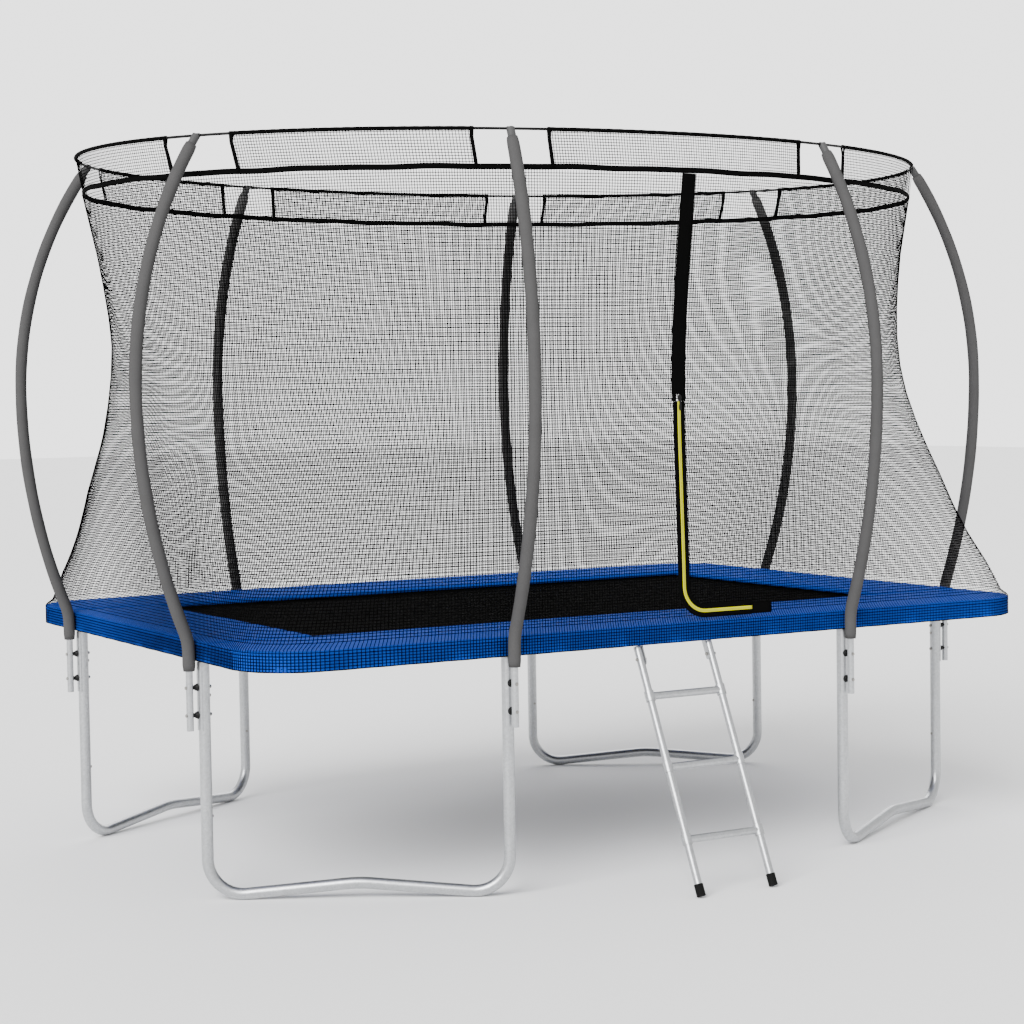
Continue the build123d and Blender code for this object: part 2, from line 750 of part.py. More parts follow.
def make_upper_net():
    """Straps and strips of net between the band and the ring, open round each pole."""
    low = band_height + band_tall / 2 + net_gap
    high = ring_height - ferrule_diameter / 2 - net_gap
    levels = [(band_length / 2, band_width / 2, 2.0, low), (ring_length / 2, ring_width / 2, 2.0, high)]
    poles = pole_angles()
    half = strap_thickness / 2
    with BuildPart() as straps:
        for angle, spread in poles:
            half_strap = degrees(strap_width / 2 / ring_speed(angle))
            for side in (-spread, spread):
                centre = angle + side
                thin_wall(centre - half_strap, centre + half_strap, levels, -half, half, 1)
    keep(straps, "net_straps")

    with BuildPart() as strips:
        for index, (angle, spread) in enumerate(poles):
            next_angle, next_spread = poles[(index + 1) % len(poles)]
            if next_angle < angle:
                next_angle += 360
            trim = degrees((strap_width / 2 + net_gap) / ring_speed(angle))
            start = angle + spread + trim
            end = next_angle - next_spread - degrees((strap_width / 2 + net_gap) / ring_speed(next_angle))
            thin_wall(start, end, levels, -half, half, 8)
    keep(strips, "net_top_strips")


def main_net_wall(start, end, inner, outer, steps):
    """Part of the main net's surface, between two ellipse angles."""
    trim = degrees(net_gap / 2 / (band_width / 2))
    thin_wall(start + trim, end - trim, main_net_levels(), inner, outer, steps)


def door_outline(mode=Mode.ADD):
    """Door flap seen from the front: upright edge, round corner, sill, slanted fold."""
    sill = net_bottom + door_sill
    with BuildLine() as outline:
        FilletPolyline((0, door_top), (0, sill), (door_width, sill), radius=door_corner_radius)
        Line((door_width, sill), (0, door_top))
    make_face(outline.edges(), mode=mode)


def beyond_fold():
    """Take away what lies on the far side of the slanted fold."""
    sill = net_bottom + door_sill
    with BuildLine() as outline:
        Polyline((0, door_top), (door_width, sill), (door_width, door_top), close=True)
    make_face(outline.edges(), mode=Mode.SUBTRACT)


def zip_run(half_width):
    """Band along the zip: down the upright edge, round the corner, along the sill."""
    sill = net_bottom + door_sill
    with BuildLine() as run:
        FilletPolyline((0, door_top), (0, sill), (door_width, sill), radius=door_corner_radius)
    trace(run.line, line_width=2 * half_width)


def make_main_net():
    """Eight panels of net between the poles; the front one has the doorway."""
    half = net_thickness / 2
    short, long = pole_angle_short, pole_angle_long
    with BuildPart() as right:
        main_net_wall(-short, short, -half, half, 8)
    keep(right, "net_panel_right")
    with BuildPart() as back:
        main_net_wall(long, 180 - long, -half, half, 8)
    keep(back, "net_panel_back")
    with BuildPart() as left:
        main_net_wall(180 - short, 180 + short, -half, half, 8)
    keep(left, "net_panel_left")
    with BuildPart() as corners:
        for start, end in ((short, long), (180 - long, 180 - short),
                           (180 + short, 180 + long), (360 - long, 360 - short)):
            main_net_wall(start, end, -half, half, 8)
    keep(corners, "net_corner_panels")

    start, end = 180 + long, 360 - long
    before_net = Plane.XZ.offset(half_width / 2)
    with BuildPart() as front:
        main_net_wall(start, end, -half, half, 12)
        with BuildSketch(before_net):
            door_outline()
        extrude(amount=half_width, mode=Mode.SUBTRACT)
    keep(front, "net_panel_front")
    with BuildPart() as flap:
        main_net_wall(start, end, -half, half, 12)
        with BuildSketch(before_net):
            door_outline()
            offset(amount=-door_gap)
        extrude(amount=half_width, mode=Mode.INTERSECT)
    keep(flap, "door_flap")

    tape_inner = half + zip_tape_gap
    tape_outer = tape_inner + zip_tape_thickness
    with BuildPart() as net_tape:
        main_net_wall(start, end, tape_inner, tape_outer, 12)
        with BuildSketch(before_net):
            zip_run(zip_tape_width)
            door_outline(Mode.SUBTRACT)
            beyond_fold()
        extrude(amount=half_width, mode=Mode.INTERSECT)
    keep(net_tape, "zip_tape_net_side")
    with BuildPart() as flap_tape:
        main_net_wall(start, end, tape_inner, tape_outer, 12)
        with BuildSketch(before_net):
            door_outline()
            offset(amount=-door_gap)
        extrude(amount=half_width, mode=Mode.INTERSECT)
        with BuildSketch(before_net):
            zip_run(door_gap + zip_tape_width)
        extrude(amount=half_width, mode=Mode.INTERSECT)
    keep(flap_tape, "zip_tape_door_side")

    with BuildPart() as webbing:
        main_net_wall(start, end, tape_inner, tape_inner + webbing_thickness, 12)
        with BuildSketch(before_net):
            with Locations((0, door_top + slider_size[2] + webbing_gap)):
                Rectangle(webbing_width, net_top - door_top, align=(Align.CENTER, Align.MIN))
            with Locations((door_width + webbing_gap, net_bottom + door_sill)):
                Rectangle(end_tab_length, end_tab_width, align=(Align.MIN, Align.CENTER))
        extrude(amount=half_width, mode=Mode.INTERSECT)
    keep(webbing, "door_webbing")


def make_zip_slider():
    """Slider parked at the top stop of the zip, with its puller hanging from it."""
    bottom_share = (door_top - net_bottom) / (net_top - net_bottom)
    waist = net_profile[3][1] * bottom_share / net_profile[3][0]
    net_face = net_half_width + waist * (band_width / 2 - net_half_width) + net_thickness / 2
    front = net_face + zip_tape_gap + zip_tape_thickness + slider_gap
    wide, deep, tall = slider_size
    with BuildPart() as slider:
        with BuildSketch(Plane.XZ.offset(front)):
            with Locations((0, door_top + tall / 2)):
                RectangleRounded(wide, tall, wide / 4)
        extrude(amount=deep)
        with BuildSketch(Plane.XZ.offset(front + deep)):
            with Locations((0, door_top + tall / 2)):
                RectangleRounded(wide / 2, tall / 2, wide / 8)
            with Locations((0, door_top + tall / 4)):
                RectangleRounded(puller_width, puller_length, puller_width / 3, align=(Align.CENTER, Align.MAX))
        extrude(amount=deep / 3)
    keep(slider, "zip_slider")


# ---------------------------------------------------------------- mat and springs
def spring_places():
    """Spots along the mat's edge: point on the edge and outward direction."""
    places = []
    for run, across, out in (
        (mat_half_length, mat_half_width, Vector(0, 1, 0)),
        (mat_half_width, mat_half_length, Vector(1, 0, 0)),
    ):
        count = int(2 * (run - vring_width) / spring_pitch) + 1
        for index in range(count):
            shift = (index - (count - 1) / 2) * spring_pitch
            for side in (-1, 1):
                along = Vector(shift, 0, 0) if out.Y else Vector(0, shift, 0)
                places.append((along + out * across * side, out * side))
    return places


def make_mat():
    hem_top = mat_height + (mat_hem_thickness - mat_thickness) / 2
    with BuildPart() as mat:
        with BuildSketch(Plane.XY.offset(mat_height - mat_thickness)):
            Rectangle(2 * (mat_half_length - mat_edge_inset), 2 * (mat_half_width - mat_edge_inset))
        extrude(amount=mat_thickness)
    keep(mat, "jumping_mat")

    with BuildPart() as hem:
        with BuildSketch(Plane.XY.offset(hem_top)):
            Rectangle(2 * mat_half_length, 2 * mat_half_width)
            Rectangle(2 * (mat_half_length - mat_hem_width), 2 * (mat_half_width - mat_hem_width),
                      mode=Mode.SUBTRACT)
        extrude(amount=-mat_hem_thickness)
        with BuildSketch(Plane.XY.offset(mat_height)):
            Rectangle(2 * (mat_half_length - mat_edge_inset), 2 * (mat_half_width - mat_edge_inset))
        extrude(amount=-mat_thickness, mode=Mode.SUBTRACT)
    keep(hem, "mat_hem")

    wire_plane = mat_height - mat_thickness / 2
    with BuildPart() as one_ring:
        with BuildSketch():
            with BuildLine():
                Polyline((joint_gap, -vring_width / 2), (joint_gap, vring_width / 2),
                         (vring_depth, 0), close=True)
            make_face()
            offset(amount=-vring_wire, mode=Mode.SUBTRACT)
        extrude(amount=vring_wire / 2, both=True)
    with BuildPart() as one_spring:
        hook_start = vring_depth + joint_gap
        coil_start = vring_depth + spring_hook_length
        coil_end = vring_depth + spring_length - spring_hook_length
        hook_end = vring_depth + spring_length - joint_gap
        with BuildSketch(Plane.YZ.offset(coil_start)):
            with Locations((0, -spring_drop)):
                Circle(spring_diameter / 2)
        extrude(amount=coil_end - coil_start)
        with BuildSketch(Plane.YZ.offset(hook_start)):
            Circle(spring_hook_radius)
        extrude(amount=hook_end - hook_start)
    spots = []
    for point, out in spring_places():
        spots.append(Location((point.X, point.Y, wire_plane), degrees(atan2(out.Y, out.X))))
    with BuildPart() as rings:
        with Locations(*spots):
            add(one_ring.part)
    keep(rings, "mat_v_rings")
    with BuildPart() as springs:
        with Locations(*spots):
            add(one_spring.part)
    keep(springs, "springs")


# ---------------------------------------------------------------- safety pad
def flap_span():
    """Ends of the skirt flap over the ladder, along X."""
    reach = ladder_width / 2 + rail_diameter / 2 + flap_side_margin
    return ladder_x - reach, ladder_x + reach


def pad_panel(name, middle, size):
    """One panel of the pad's rectangular ring, with its part of the skirt."""
    outer = (2 * pad_half_length, 2 * pad_half_width, pad_corner_radius)
    inner = (outer[0] - 2 * skirt_thickness, outer[1] - 2 * skirt_thickness,
             pad_corner_radius - skirt_thickness)
    with BuildPart() as panel:
        with BuildSketch(Plane.XY.offset(pad_underside)):
            RectangleRounded(*outer)
            with Locations(middle):
                Rectangle(*size, mode=Mode.INTERSECT)
        extrude(amount=pad_thickness)
        fillet(panel.faces().sort_by(Axis.Z)[-1].edges(), radius=min(pad_edge_radius, pad_thickness / 3))
        with BuildSketch(Plane.XY.offset(skirt_bottom)):
            RectangleRounded(*outer)
            RectangleRounded(*inner, mode=Mode.SUBTRACT)
            with Locations(middle):
                Rectangle(*size, mode=Mode.INTERSECT)
        extrude(amount=pad_underside - skirt_bottom)
        if name == "pad_front":
            start, end = flap_span()
            with BuildSketch(Plane.XY.offset(skirt_bottom)):
                with Locations(((start + end) / 2, -pad_half_width)):
                    Rectangle(end - start + 2 * flap_gap, 4 * skirt_thickness)
            extrude(amount=pad_underside - skirt_bottom, mode=Mode.SUBTRACT)
    keep(panel, name)


def make_pad():
    ring_x = pad_half_length - pad_opening_length / 2
    ring_y = pad_half_width - pad_opening_width / 2
    for side, word in ((-1, "front"), (1, "back")):
        pad_panel(f"pad_{word}", (0, side * (pad_half_width - ring_y / 2)), (2 * pad_half_length, ring_y))
    for side, word in ((-1, "left"), (1, "right")):
        pad_panel(f"pad_{word}", (side * (pad_half_length - ring_x / 2), 0),
                  (ring_x, pad_opening_width - 2 * pad_seam_gap))

    start, end = flap_span()
    with BuildPart() as flap:
        with BuildSketch(Plane.XY.offset(skirt_bottom)):
            with Locations(((start + end) / 2, -pad_half_width)):
                Rectangle(end - start, skirt_thickness, align=(Align.CENTER, Align.MIN))
        extrude(amount=pad_underside - flap_top_gap - skirt_bottom)
    keep(flap, "skirt_flap")


# ---------------------------------------------------------------- ladder
def ladder_point(x, distance):
    """Point on a rail's centre line, a distance down from its top end."""
    lean = radians(ladder_angle)
    return Vector(
        x,
        -half_width - rail_top_out - distance * sin(lean),
        frame_height - rail_top_drop - distance * cos(lean),
    )


def make_ladder():
    lean = radians(ladder_angle)
    down = Vector(0, -sin(lean), -cos(lean))
    rail_xs = (ladder_x - ladder_width / 2, ladder_x + ladder_width / 2)
    rail_radius = rail_diameter / 2
    foot_radius = foot_diameter / 2
    top_height = ladder_point(0, 0).Z
    full_length = (top_height - foot_radius * sin(lean)) / cos(lean)
    rail_length = full_length - foot_base
    bolt_point = [ladder_point(x, ladder_bolt_drop) for x in rail_xs]
    bore_radius = ladder_bolt_radius + joint_gap
    socket_bore = rail_radius + joint_gap / 2

    with BuildPart() as rails:
        for x in rail_xs:
            with BuildSketch(Plane(origin=ladder_point(x, 0), z_dir=down)):
                Circle(rail_radius)
                Circle(rail_radius - rail_wall, mode=Mode.SUBTRACT)
            extrude(amount=rail_length)
        with BuildSketch(Plane(origin=bolt_point[0] - Vector(rail_diameter, 0, 0), z_dir=(1, 0, 0))):
            Circle(bore_radius)
        extrude(amount=ladder_width + 2 * rail_diameter, mode=Mode.SUBTRACT)
    keep(rails, "ladder_rails")

    with BuildPart() as rungs:
        for index in range(3):
            distance = first_rung + index * rung_spacing
            left = ladder_point(rail_xs[0], distance)
            with BuildSketch(Plane(origin=left, z_dir=(1, 0, 0))):
                Circle(rung_diameter / 2)
            extrude(amount=ladder_width)
            for x in rail_xs:
                socket_top = ladder_point(x, distance - socket_length / 2)
                with BuildSketch(Plane(origin=socket_top, z_dir=down)):
                    Circle(socket_diameter / 2)
                extrude(amount=socket_length)
            with BuildSketch(Plane(origin=left, z_dir=(1, 0, 0))):
                Circle(rung_diameter / 2 - rail_wall)
            extrude(amount=ladder_width, mode=Mode.SUBTRACT)
            for x in rail_xs:
                bore_top = ladder_point(x, distance - socket_length)
                with BuildSketch(Plane(origin=bore_top, z_dir=down)):
                    Circle(socket_bore)
                extrude(amount=2 * socket_length, mode=Mode.SUBTRACT)
    keep(rungs, "ladder_rungs")

    with BuildPart() as feet:
        for x in rail_xs:
            foot_plane = Plane(origin=ladder_point(x, full_length - foot_length), z_dir=down)
            with BuildSketch(foot_plane):
                Circle(foot_radius)
            extrude(amount=foot_length)
            with BuildSketch(foot_plane):
                Circle(socket_bore)
            extrude(amount=foot_length - foot_base + joint_gap / 2, mode=Mode.SUBTRACT)
    keep(feet, "ladder_feet")

    hook_inner = tube_radius + hook_clearance
    hook_outer = hook_inner + hook_depth
    with BuildPart() as hooks:
        for x, side in zip(rail_xs, (1, -1)):
            near_face = x + side * (rail_radius + joint_gap / 2)
            low_x = min(near_face, near_face + side * hook_thickness)
            hook_plane = Plane(origin=(low_x, -half_width, frame_height), x_dir=(0, 1, 0), z_dir=(1, 0, 0))
            tab_middle = ladder_point(x, hook_tab_length / 2 - hook_tab_rise) - hook_plane.origin
            with BuildSketch(hook_plane):
                Circle(hook_outer)
                with BuildLine():
                    Polyline((0, 0), (2 * hook_outer, 0), (2 * hook_outer, -2 * hook_outer),
                             (-hook_outer / 4, -2 * hook_outer), close=True)
                make_face(mode=Mode.SUBTRACT)
                with Locations((tab_middle.Y, tab_middle.Z)):
                    SlotOverall(hook_tab_length + hook_tab_width, hook_tab_width,
                                rotation=90 - ladder_angle)
                Circle(hook_inner, mode=Mode.SUBTRACT)
            extrude(amount=hook_thickness)
        with BuildSketch(Plane(origin=bolt_point[0] - Vector(rail_diameter, 0, 0), z_dir=(1, 0, 0))):
            Circle(bore_radius)
        extrude(amount=ladder_width + 2 * rail_diameter, mode=Mode.SUBTRACT)
    keep(hooks, "ladder_hooks")

    with BuildPart() as bolts:
        for point, side in zip(bolt_point, (1, -1)):
            head_seat = point - Vector(side * (rail_radius + joint_gap / 4), 0, 0)
            nut_seat = point + Vector(side * (rail_radius + joint_gap + hook_thickness), 0, 0)
            with BuildSketch(Plane(origin=head_seat, z_dir=(-side, 0, 0))):
                Circle(bolt_head_radius)
            extrude(amount=bolt_head_height, taper=20)
            with BuildSketch(Plane(origin=head_seat, z_dir=(side, 0, 0))):
                Circle(ladder_bolt_radius)
            extrude(amount=rail_diameter + hook_thickness + nut_height)
            with BuildSketch(Plane(origin=nut_seat, z_dir=(side, 0, 0))):
                RegularPolygon(bolt_head_radius, 6)
            extrude(amount=nut_height)
    keep(bolts, "ladder_bolts")


make_frame()
make_tee_sockets()
make_leg_uprights()
make_leg_bases()
make_frame_screws()
make_pole_lowers()
make_pole_uppers()
make_foam_sleeves()
make_pole_caps()
make_clamps()
make_ring()
make_net_edges()
make_upper_net()
make_main_net()
make_zip_slider()
make_mat()
make_pad()
make_ladder()
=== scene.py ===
import math

import bpy
import numpy as np
from bpy.props import FloatProperty, FloatVectorProperty, IntProperty, PointerProperty
from bpy.types import Operator, Panel, PropertyGroup
from mathutils import Euler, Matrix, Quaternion, Vector


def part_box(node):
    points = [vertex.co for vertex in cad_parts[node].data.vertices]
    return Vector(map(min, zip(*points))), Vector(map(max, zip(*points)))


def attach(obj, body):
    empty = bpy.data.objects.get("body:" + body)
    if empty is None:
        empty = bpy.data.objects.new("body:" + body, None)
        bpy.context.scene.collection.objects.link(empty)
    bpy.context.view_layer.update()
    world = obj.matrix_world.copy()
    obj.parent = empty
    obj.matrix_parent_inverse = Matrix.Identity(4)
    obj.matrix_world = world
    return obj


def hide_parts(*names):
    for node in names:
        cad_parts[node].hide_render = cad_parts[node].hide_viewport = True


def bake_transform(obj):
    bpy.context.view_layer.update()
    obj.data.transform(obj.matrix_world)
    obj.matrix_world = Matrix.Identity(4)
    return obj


bl_info = {
    "name": "Trampoline looks",
    "version": (1, 0, 0),
    "blender": (4, 5, 0),
    "location": "View3D > Sidebar > Trampoline",
    "description": "Soft pieces, finishes, light and camera for a trampoline with a net",
    "category": "Object",
}

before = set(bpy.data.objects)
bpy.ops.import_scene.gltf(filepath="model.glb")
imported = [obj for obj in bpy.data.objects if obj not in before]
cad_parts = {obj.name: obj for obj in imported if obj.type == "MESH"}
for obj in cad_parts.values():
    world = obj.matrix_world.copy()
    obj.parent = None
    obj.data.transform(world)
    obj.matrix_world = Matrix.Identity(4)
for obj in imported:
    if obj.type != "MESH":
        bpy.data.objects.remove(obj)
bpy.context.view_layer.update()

UP = np.array((0.0, 0.0, 1.0))
NET_CORD_THICKNESS = 0.0005
# share of the net's height, growth from hem size to band size, squareness of the outline
NET_PROFILE = np.array((
    (0.0, 0.0, 12.0),
    (0.12, -0.06, 6.0),
    (0.30, -0.15, 3.6),
    (0.49, -0.245, 2.6),
    (0.62, -0.17, 2.3),
    (0.81, 0.31, 2.08),
    (1.0, 1.0, 2.0),
))


# ---------------------------------------------------------------- settings
def length(name, description, default):
    return FloatProperty(name=name, description=description, default=default, min=0.0, unit="LENGTH", precision=4)


def colour(name, description, default):
    return FloatVectorProperty(name=name, description=description, default=default, subtype="COLOR", min=0, max=1)


class TrampolineSizes(PropertyGroup):
    net_pitch: length("Net cell", "Distance between neighbouring net cords", 0.0105)
    net_cord: length("Net cord", "Width of a net cord", 0.0026)
    net_ripple: length("Net ripple", "Height of the loose waves in the net", 0.005)
    pole_angle_short: FloatProperty(name="End pole angle", default=26.9,
                                    description="Ellipse angle of the poles at the short sides")
    pole_angle_long: FloatProperty(name="Side pole angle", default=67.9,
                                   description="Ellipse angle of the poles at the long sides")
    kink_height: length("Pole kink height", "Height where a pole starts to lean out", 0.885)
    kink_radius: length("Pole kink radius", "Bend radius where a pole starts to lean out", 0.18)
    bow_height: length("Pole bow height", "Height where a pole stands furthest out", 1.8)
    pole_offset: length("Pole offset", "Leg centre line to pole centre line", 0.054)
    bow_reach: length("Pole bow reach", "Leg centre line to the pole at its bow", 0.226)
    sleeve_radius: length("Sleeve radius", "Outer radius of a foam sleeve", 0.0225)
    hem_inset: length("Hem inset", "Pad's outer edge to the middle of the net's hem", 0.012)
    hem_tall: length("Hem height", "Height of the net's hem", 0.016)
    pad_corner: length("Pad corner", "Radius of the pad's outer corners", 0.2445)
    strap_width: length("Strap width", "Width of the straps beside the poles", 0.013)
    door_corner: length("Door corner", "Radius of the zip's lower corner", 0.095)
    door_gap: length("Door gap", "Width of the zip's chain", 0.003)
    tape_width: length("Tape width", "Zip tape on each side of the chain", 0.024)
    webbing_width: length("Webbing width", "Upright webbing above the zip", 0.060)
    chain_width: length("Chain width", "Coloured part of each zip tape", 0.005)
    tooth_pitch: length("Tooth pitch", "Distance between neighbouring zip teeth", 0.0038)
    spring_wire: length("Spring wire", "Radius of the spring wire", 0.0015)
    spring_turns: IntProperty(name="Spring turns", description="Turns of a spring's coil", default=30, min=4)
    mat_sag: length("Mat sag", "How far the middle of the mat hangs", 0.006)
    stitch: length("Stitch", "Length of a stitch", 0.006)


class TrampolineColours(PropertyGroup):
    zinc: colour("Zinc", "Galvanised tube", (0.48, 0.49, 0.50))
    bolt: colour("Bolt", "Plated bolts", (0.30, 0.29, 0.27))
    foam: colour("Foam", "Foam sleeves", (0.058, 0.057, 0.057))
    cap: colour("Cap", "Pole end caps", (0.055, 0.055, 0.055))
    black: colour("Black plastic", "Caps, spacers and saddles", (0.006, 0.006, 0.006))
    ring: colour("Ring", "Glass fibre rods", (0.002, 0.002, 0.002))
    net: colour("Net", "Net cords", (0.002, 0.002, 0.002))
    webbing: colour("Webbing", "Band, hem and straps", (0.002, 0.002, 0.002))
    zip: colour("Zip", "Zip tape and teeth", (0.50, 0.49, 0.0))
    mat: colour("Mat", "Jumping mat", (0.0008, 0.0008, 0.0008))
    spring: colour("Spring", "Spring wire", (0.42, 0.42, 0.42))
    pad: colour("Pad", "Padding cover", (0.006, 0.044, 0.30))
    rubber: colour("Rubber", "Ladder feet", (0.002, 0.002, 0.002))


def sizes():
    return bpy.context.scene.trampoline_sizes


# ---------------------------------------------------------------- materials
class Shader:
    """Node material with short calls for the nodes used here."""

    def __init__(self, name, tint, roughness, metallic=0.0, specular=0.5):
        self.material = bpy.data.materials.new(name)
        self.material.use_nodes = True
        self.tree = self.material.node_tree
        self.surface = self.tree.nodes["Principled BSDF"]
        self.tint = (*tint, 1.0)
        self.surface.inputs["Base Color"].default_value = self.tint
        self.surface.inputs["Roughness"].default_value = roughness
        self.surface.inputs["Metallic"].default_value = metallic
        self.surface.inputs["Specular IOR Level"].default_value = specular
        self.coordinates = self.tree.nodes.new("ShaderNodeTexCoord")

    def node(self, kind, values=(), links=(), **settings):
        made = self.tree.nodes.new(kind)
        for key, value in settings.items():
            setattr(made, key, value)
        for socket, value in dict(values).items():
            made.inputs[socket].default_value = value
        for socket, source in dict(links).items():
            self.tree.links.new(source, made.inputs[socket])
        return made

    def scaled(self, scale, space="Object"):
        """Coordinates of the object, or of the cloth, multiplied along each axis."""
        return self.node("ShaderNodeMapping", {"Scale": scale},
                         {"Vector": self.coordinates.outputs[space]}).outputs[0]

    def noise(self, size, detail=3.0, space="Object", stretch=(1, 1, 1)):
        scale = [s / size for s in stretch]
        return self.node("ShaderNodeTexNoise", {"Scale": 1.0, "Detail": detail},
                         {"Vector": self.scaled(scale, space)}).outputs["Fac"]

    def cells(self, size):
        return self.node("ShaderNodeTexVoronoi", {"Scale": 1.0},
                         {"Vector": self.scaled([1 / size] * 3)}).outputs["Color"]

    def maths(self, operation, first, second):
        made = self.node("ShaderNodeMath", operation=operation)
        for index, value in enumerate((first, second)):
            if isinstance(value, (int, float)):
                made.inputs[index].default_value = value
            else:
                self.tree.links.new(value, made.inputs[index])
        return made.outputs[0]

    def weave(self, pitch, pitch_across=None):
        """Over and under of two yarn directions, from 0 to 1, in cloth coordinates."""
        turn = 2 * math.pi
        axes = self.node("ShaderNodeSeparateXYZ", {}, {
            "Vector": self.scaled((turn / pitch, turn / (pitch_across or pitch), 1), "UV")})
        product = self.maths("MULTIPLY", self.maths("SINE", axes.outputs[0], 0),
                             self.maths("SINE", axes.outputs[1], 0))
        return self.maths("MULTIPLY_ADD", product, 0.5)

    def remap(self, source, low, high):
        return self.node("ShaderNodeMapRange", {"To Min": low, "To Max": high}, {"Value": source}).outputs[0]

    def vary_colour(self, source, low, high):
        """Multiply the base colour by a factor that goes from low to high."""
        factor = self.remap(source, low, high)
        socket = self.surface.inputs["Base Color"]
        mixed = self.node("ShaderNodeMix", data_type="RGBA", blend_type="MULTIPLY")
        mixed.inputs[0].default_value = 1.0
        if socket.is_linked:
            self.tree.links.new(socket.links[0].from_socket, mixed.inputs[6])
        else:
            mixed.inputs[6].default_value = self.tint
        self.tree.links.new(factor, mixed.inputs[7])
        self.tree.links.new(mixed.outputs[2], socket)

    def vary_roughness(self, source, low, high):
        self.tree.links.new(self.remap(source, low, high), self.surface.inputs["Roughness"])

    def bump(self, height, distance, strength=1.0):
        socket = self.surface.inputs["Normal"]
        made = self.node("ShaderNodeBump", {"Strength": strength, "Distance": distance}, {"Height": height})
        if socket.is_linked:
            self.tree.links.new(socket.links[0].from_socket, made.inputs["Normal"])
        self.tree.links.new(made.outputs[0], socket)


def metal(name, tint, roughness, spangle):
    shader = Shader(name, tint, roughness, 0.9)
    shader.vary_colour(shader.cells(spangle), 0.86, 1.08)
    shader.vary_colour(shader.noise(0.09, 4), 0.90, 1.06)
    shader.vary_roughness(shader.noise(0.012, 5), roughness - 0.1, roughness + 0.14)
    shader.bump(shader.noise(0.002, 3), 0.00008)
    return shader.material


def plastic(name, tint, roughness, grain=0.0015):
    shader = Shader(name, tint, roughness, 0.0, 0.15)
    shader.vary_roughness(shader.noise(0.02, 4), roughness - 0.08, roughness + 0.12)
    shader.vary_colour(shader.noise(0.05, 3), 0.85, 1.2)
    shader.bump(shader.noise(grain, 2), 0.00012)
    return shader.material


def cloth(name, tint, roughness, pitch, depth, contrast=0.35, pitch_across=None, specular=0.3):
    shader = Shader(name, tint, roughness, 0.0, specular)
    weave = shader.weave(pitch, pitch_across)
    shader.vary_colour(weave, 1 - contrast, 1 + contrast)
    shader.vary_colour(shader.noise(0.06, 5), 0.84, 1.14)
    shader.vary_roughness(shader.noise(0.03, 3), roughness - 0.08, roughness + 0.08)
    shader.bump(weave, depth)
    shader.bump(shader.noise(0.01, 3), depth)
    return shader.material


def foam(name, tint):
    shader = Shader(name, tint, 0.88, 0.0, 0.1)
    shader.vary_colour(shader.noise(0.004, 4), 0.82, 1.15)
    shader.vary_colour(shader.noise(0.07, 3), 0.90, 1.10)
    shader.bump(shader.cells(0.0022), 0.0003, 0.6)
    shader.bump(shader.noise(0.03, 3), 0.0012, 0.5)
    return shader.material


def make_materials():
    tints = bpy.context.scene.trampoline_colours
    return {
        "galvanised": metal("Galvanised", tints.zinc, 0.34, 0.007),
        "bolt_steel": metal("Bolt steel", tints.bolt, 0.32, 0.003),
        "foam": foam("Foam", tints.foam),
        "cap_grey": plastic("Cap grey", tints.cap, 0.5),
        "black_plastic": plastic("Black plastic", tints.black, 0.45),
        "ring_black": plastic("Ring black", tints.ring, 0.35, 0.003),
        "net_black": cloth("Net black", tints.net, 0.85, 0.0016, 0.0002, specular=0.0),
        "webbing_black": cloth("Webbing black", tints.webbing, 0.85, 0.003, 0.0004, pitch_across=0.0018, specular=0.02),
        "zip_yellow": cloth("Zip yellow", tints.zip, 0.55, 0.0012, 0.00012, 0.12),
        "mat_black": cloth("Mat black", tints.mat, 0.9, 0.0042, 0.0004, 0.5, pitch_across=0.0021, specular=0.01),
        "spring_steel": metal("Spring steel", tints.spring, 0.28, 0.004),
        "pad_blue": cloth("Pad blue", tints.pad, 0.6, 0.0046, 0.00035, 0.22, specular=0.01),
        "rubber_black": plastic("Rubber black", tints.rubber, 0.8, 0.0025),
    }


def material(slot):
    """The material of a slot, made once."""
    made = bpy.data.materials.get("slot_" + slot)
    if made is None:
        for name, fresh in make_materials().items():
            fresh.name = "slot_" + name
        made = bpy.data.materials["slot_" + slot]
    return made


